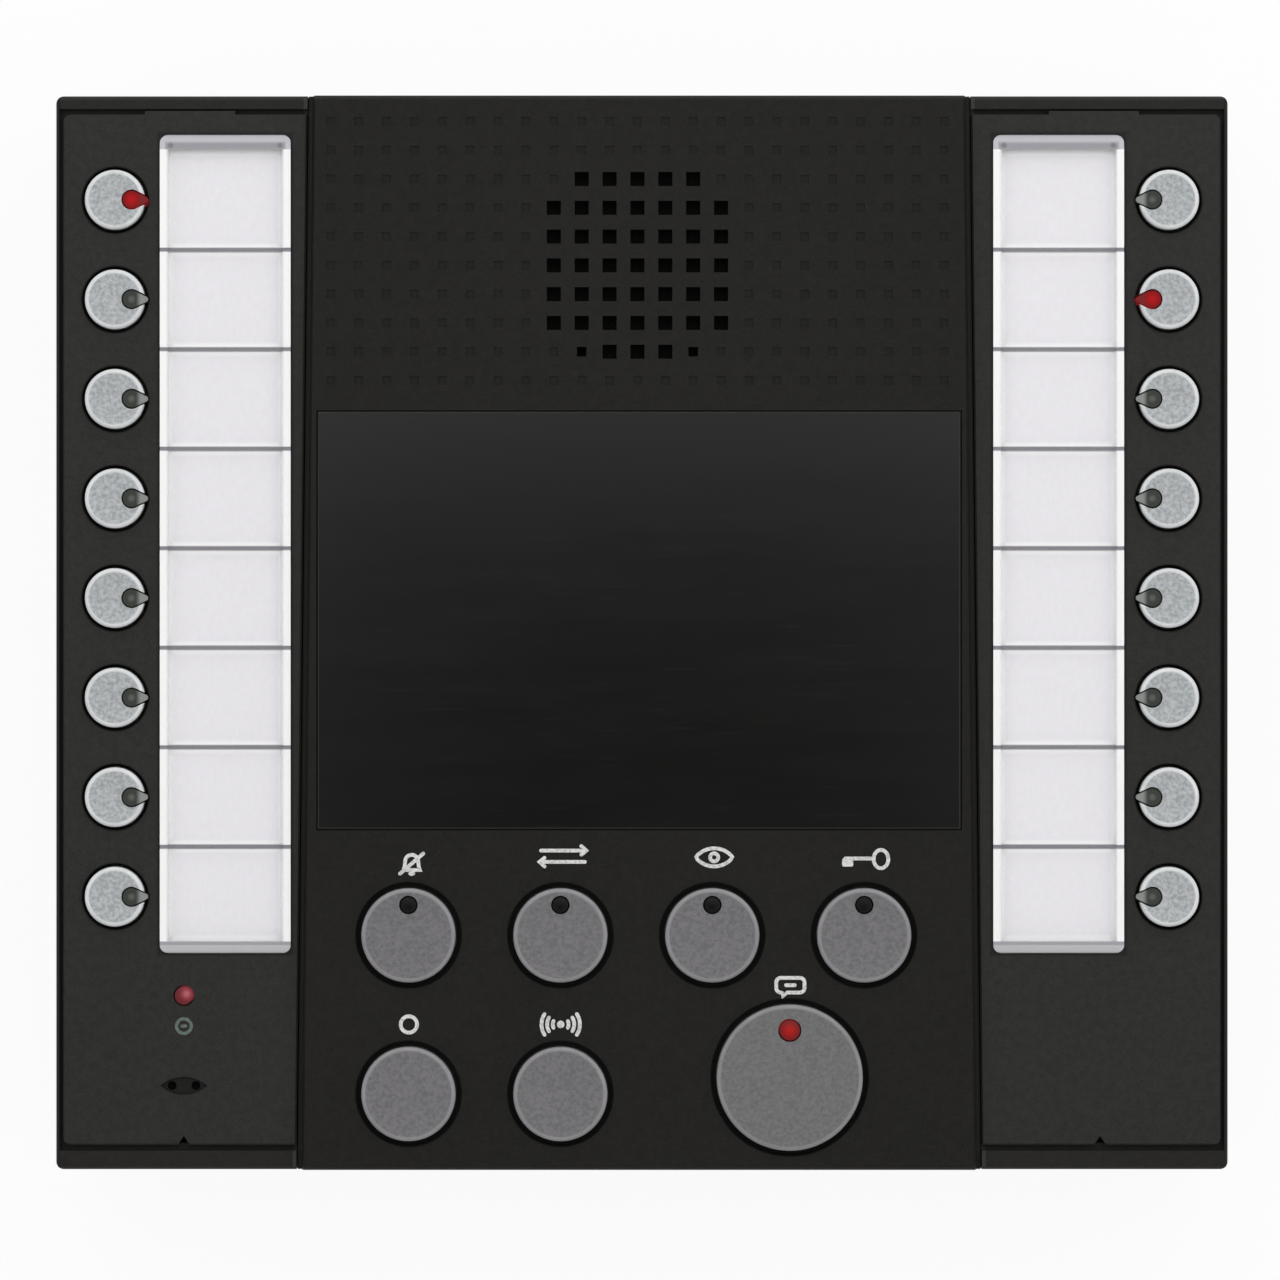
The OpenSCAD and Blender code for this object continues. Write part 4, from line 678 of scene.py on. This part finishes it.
# The finish of each material slot, and of the nodes that have one of their own.
by_slot = {
    "case_plastic": case_plastic, "wing_plastic": wing_plastic, "blank_plastic": blank_plastic,
    "clear_plastic": label_clear, "card": card, "station_key_plastic": station_grey,
    "function_key_plastic": function_grey, "knob_plastic": knob_black, "dark_lens": unlit_drop,
    "red_lens": lit_drop, "cloth": grille_cloth, "speaker_steel": speaker_steel, "cone_paper": cone_paper,
    "magnet": magnet_black, "microphone_can": microphone_can, "rubber": rubber_black, "board": board_green,
    "board_part": part_black, "jumper": jumper_film, "switch_plastic": switch_black,
    "jack_plastic": jack_plastic, "screw_steel": screw_steel,
}
own = {
    "front_case": front_plastic, "centre_panel": panel_plastic, "microphone": grille_cloth,
    "talk_key": talk_grey, "function_lights": function_lens, "talk_light": talk_lens,
    "busy_light": busy_lens,
}
for row in frame["record"]["subparts"]:
    piece = nodes[row["node"]]
    piece.data.materials.clear()
    piece.data.materials.append(own.get(row["node"], by_slot[row["material_slot"]]))

# Printed signs over the keys, and one under the busy light.
face_signs = (
    bell((-40.8, -41.0)) + swap_arrows((-14.0, -39.6)) + eye((12.8, -39.8)) + plain_key((39.6, -40.1))
    + empty_ring((-41.3, -69.4)) + call_waves((-14.4, -69.4)) + bubble((26.3, -62.6))
)
panel_signs = printed("panel_signs", face_signs, CENTRE_Z, PANEL_STROKE)
wing_sign = printed("wing_sign", barred_ring((MIC_X, -69.8)), WING_Z, WING_STROKE)
for piece, finish in ((panel_signs, white_ink), (wing_sign, dull_ink)):
    piece.data.materials.append(finish)
    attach(piece, "station")


def studio_sweep():
    """Floor and backdrop in one: a flat disc that turns up in a quarter circle and ends in an upright
    wall. Its outline of radius r and height h is turned about Z."""
    flat, bend, top = 3.0, 1.0, 3.0
    flat_points, bend_points, sides = 7, 13, 96
    a = np.linspace(0, math.pi / 2, bend_points)[1:]
    r = np.concatenate([np.linspace(0.0, flat, flat_points), flat + bend * np.sin(a), [flat + bend]])
    h = np.concatenate([np.zeros(flat_points), bend - bend * np.cos(a), [top]])
    t = np.linspace(0, 2 * math.pi, sides + 1)[:-1]
    across, along = r[:, None] * np.cos(t), r[:, None] * np.sin(t)
    vertices = np.stack([across, along, np.repeat(h[:, None], sides, 1)], 2).reshape(-1, 3)
    i, j = np.meshgrid(np.arange(len(r) - 1), np.arange(sides), indexing="ij")
    inner, outer, k = i * sides, (i + 1) * sides, (j + 1) % sides
    faces = np.stack([inner + j, outer + j, outer + k, inner + k], 2).reshape(-1, 4)
    sweep = mesh_piece("studio_sweep", vertices, faces)
    sweep.data.polygons.foreach_set("use_smooth", np.ones(len(sweep.data.polygons), bool))
    f = Finish("studio_white")
    seen = f.node("ShaderNodeLightPath", {}, {}, "Is Camera Ray")
    for ray in ("Is Glossy Ray", "Is Transmission Ray"):
        seen = seen.most(f.node("ShaderNodeLightPath", {}, {}, ray))
    paper = f.node("ShaderNodeBsdfDiffuse", {}, {"Color": (0.95, 0.95, 0.95, 1.0)})
    white = f.node("ShaderNodeEmission", {}, {"Color": (1.0, 1.0, 1.0, 1.0), "Strength": 1.0})
    both = f.node("ShaderNodeMixShader", {}, {0: 0.92 * seen, 1: paper, 2: white})
    f.node("ShaderNodeOutputMaterial", {}, {"Surface": both})
    sweep.data.materials.append(f.material)


def softbox(name, place, size, watts):
    """A square area lamp that looks at the middle of the station."""
    lamp = bpy.data.lights.new(name, "AREA")
    lamp.shape, lamp.size, lamp.energy = "SQUARE", size, watts
    box = bpy.data.objects.new(name, lamp)
    scene.collection.objects.link(box)
    box.location = place
    aim = np.array([0, 0, LAMP_AIM_Z]) - np.array(place)
    tilt = math.acos(-aim[2] / np.linalg.norm(aim))
    box.rotation_euler = (tilt, 0, math.atan2(aim[1], aim[0]) - math.pi / 2)
    box.visible_camera = False


studio_sweep()
softbox("left_softbox", (-1.0, 0.15, 0.8), 1.8, 6.7)
softbox("right_softbox", (1.0, 0.15, 0.8), 1.8, 9.1)
softbox("upper_softbox", (0.0, 1.1, 0.85), 1.8, 13.4)
softbox("lower_softbox", (0.0, -1.1, 0.75), 1.6, 4.3)
softbox("top_panel", (0.0, 0.36, 1.35), 0.6, 0.95)
softbox("left_panel", (-0.41, 0.0, 1.35), 0.6, 0.3)
softbox("right_panel", (0.41, 0.0, 1.35), 0.6, 0.3)

world = bpy.data.worlds.new("studio_air")
scene.world = world
world.use_nodes = True
air = world.node_tree.nodes["Background"].inputs
air["Color"].default_value = (1.0, 1.0, 1.0, 1.0)
air["Strength"].default_value = AIR_LIGHT

lens = bpy.data.cameras.new("front_camera")
lens.type, lens.lens, lens.sensor_width = "PERSP", FOCAL_LENGTH, FILM_WIDTH
lens.clip_start, lens.clip_end = 0.05, 50.0
camera = bpy.data.objects.new("front_camera", lens)
camera.location = [c * MM for c in CAMERA_PLACE]
scene.collection.objects.link(camera)
scene.camera = camera

scene.view_settings.view_transform = "Standard"
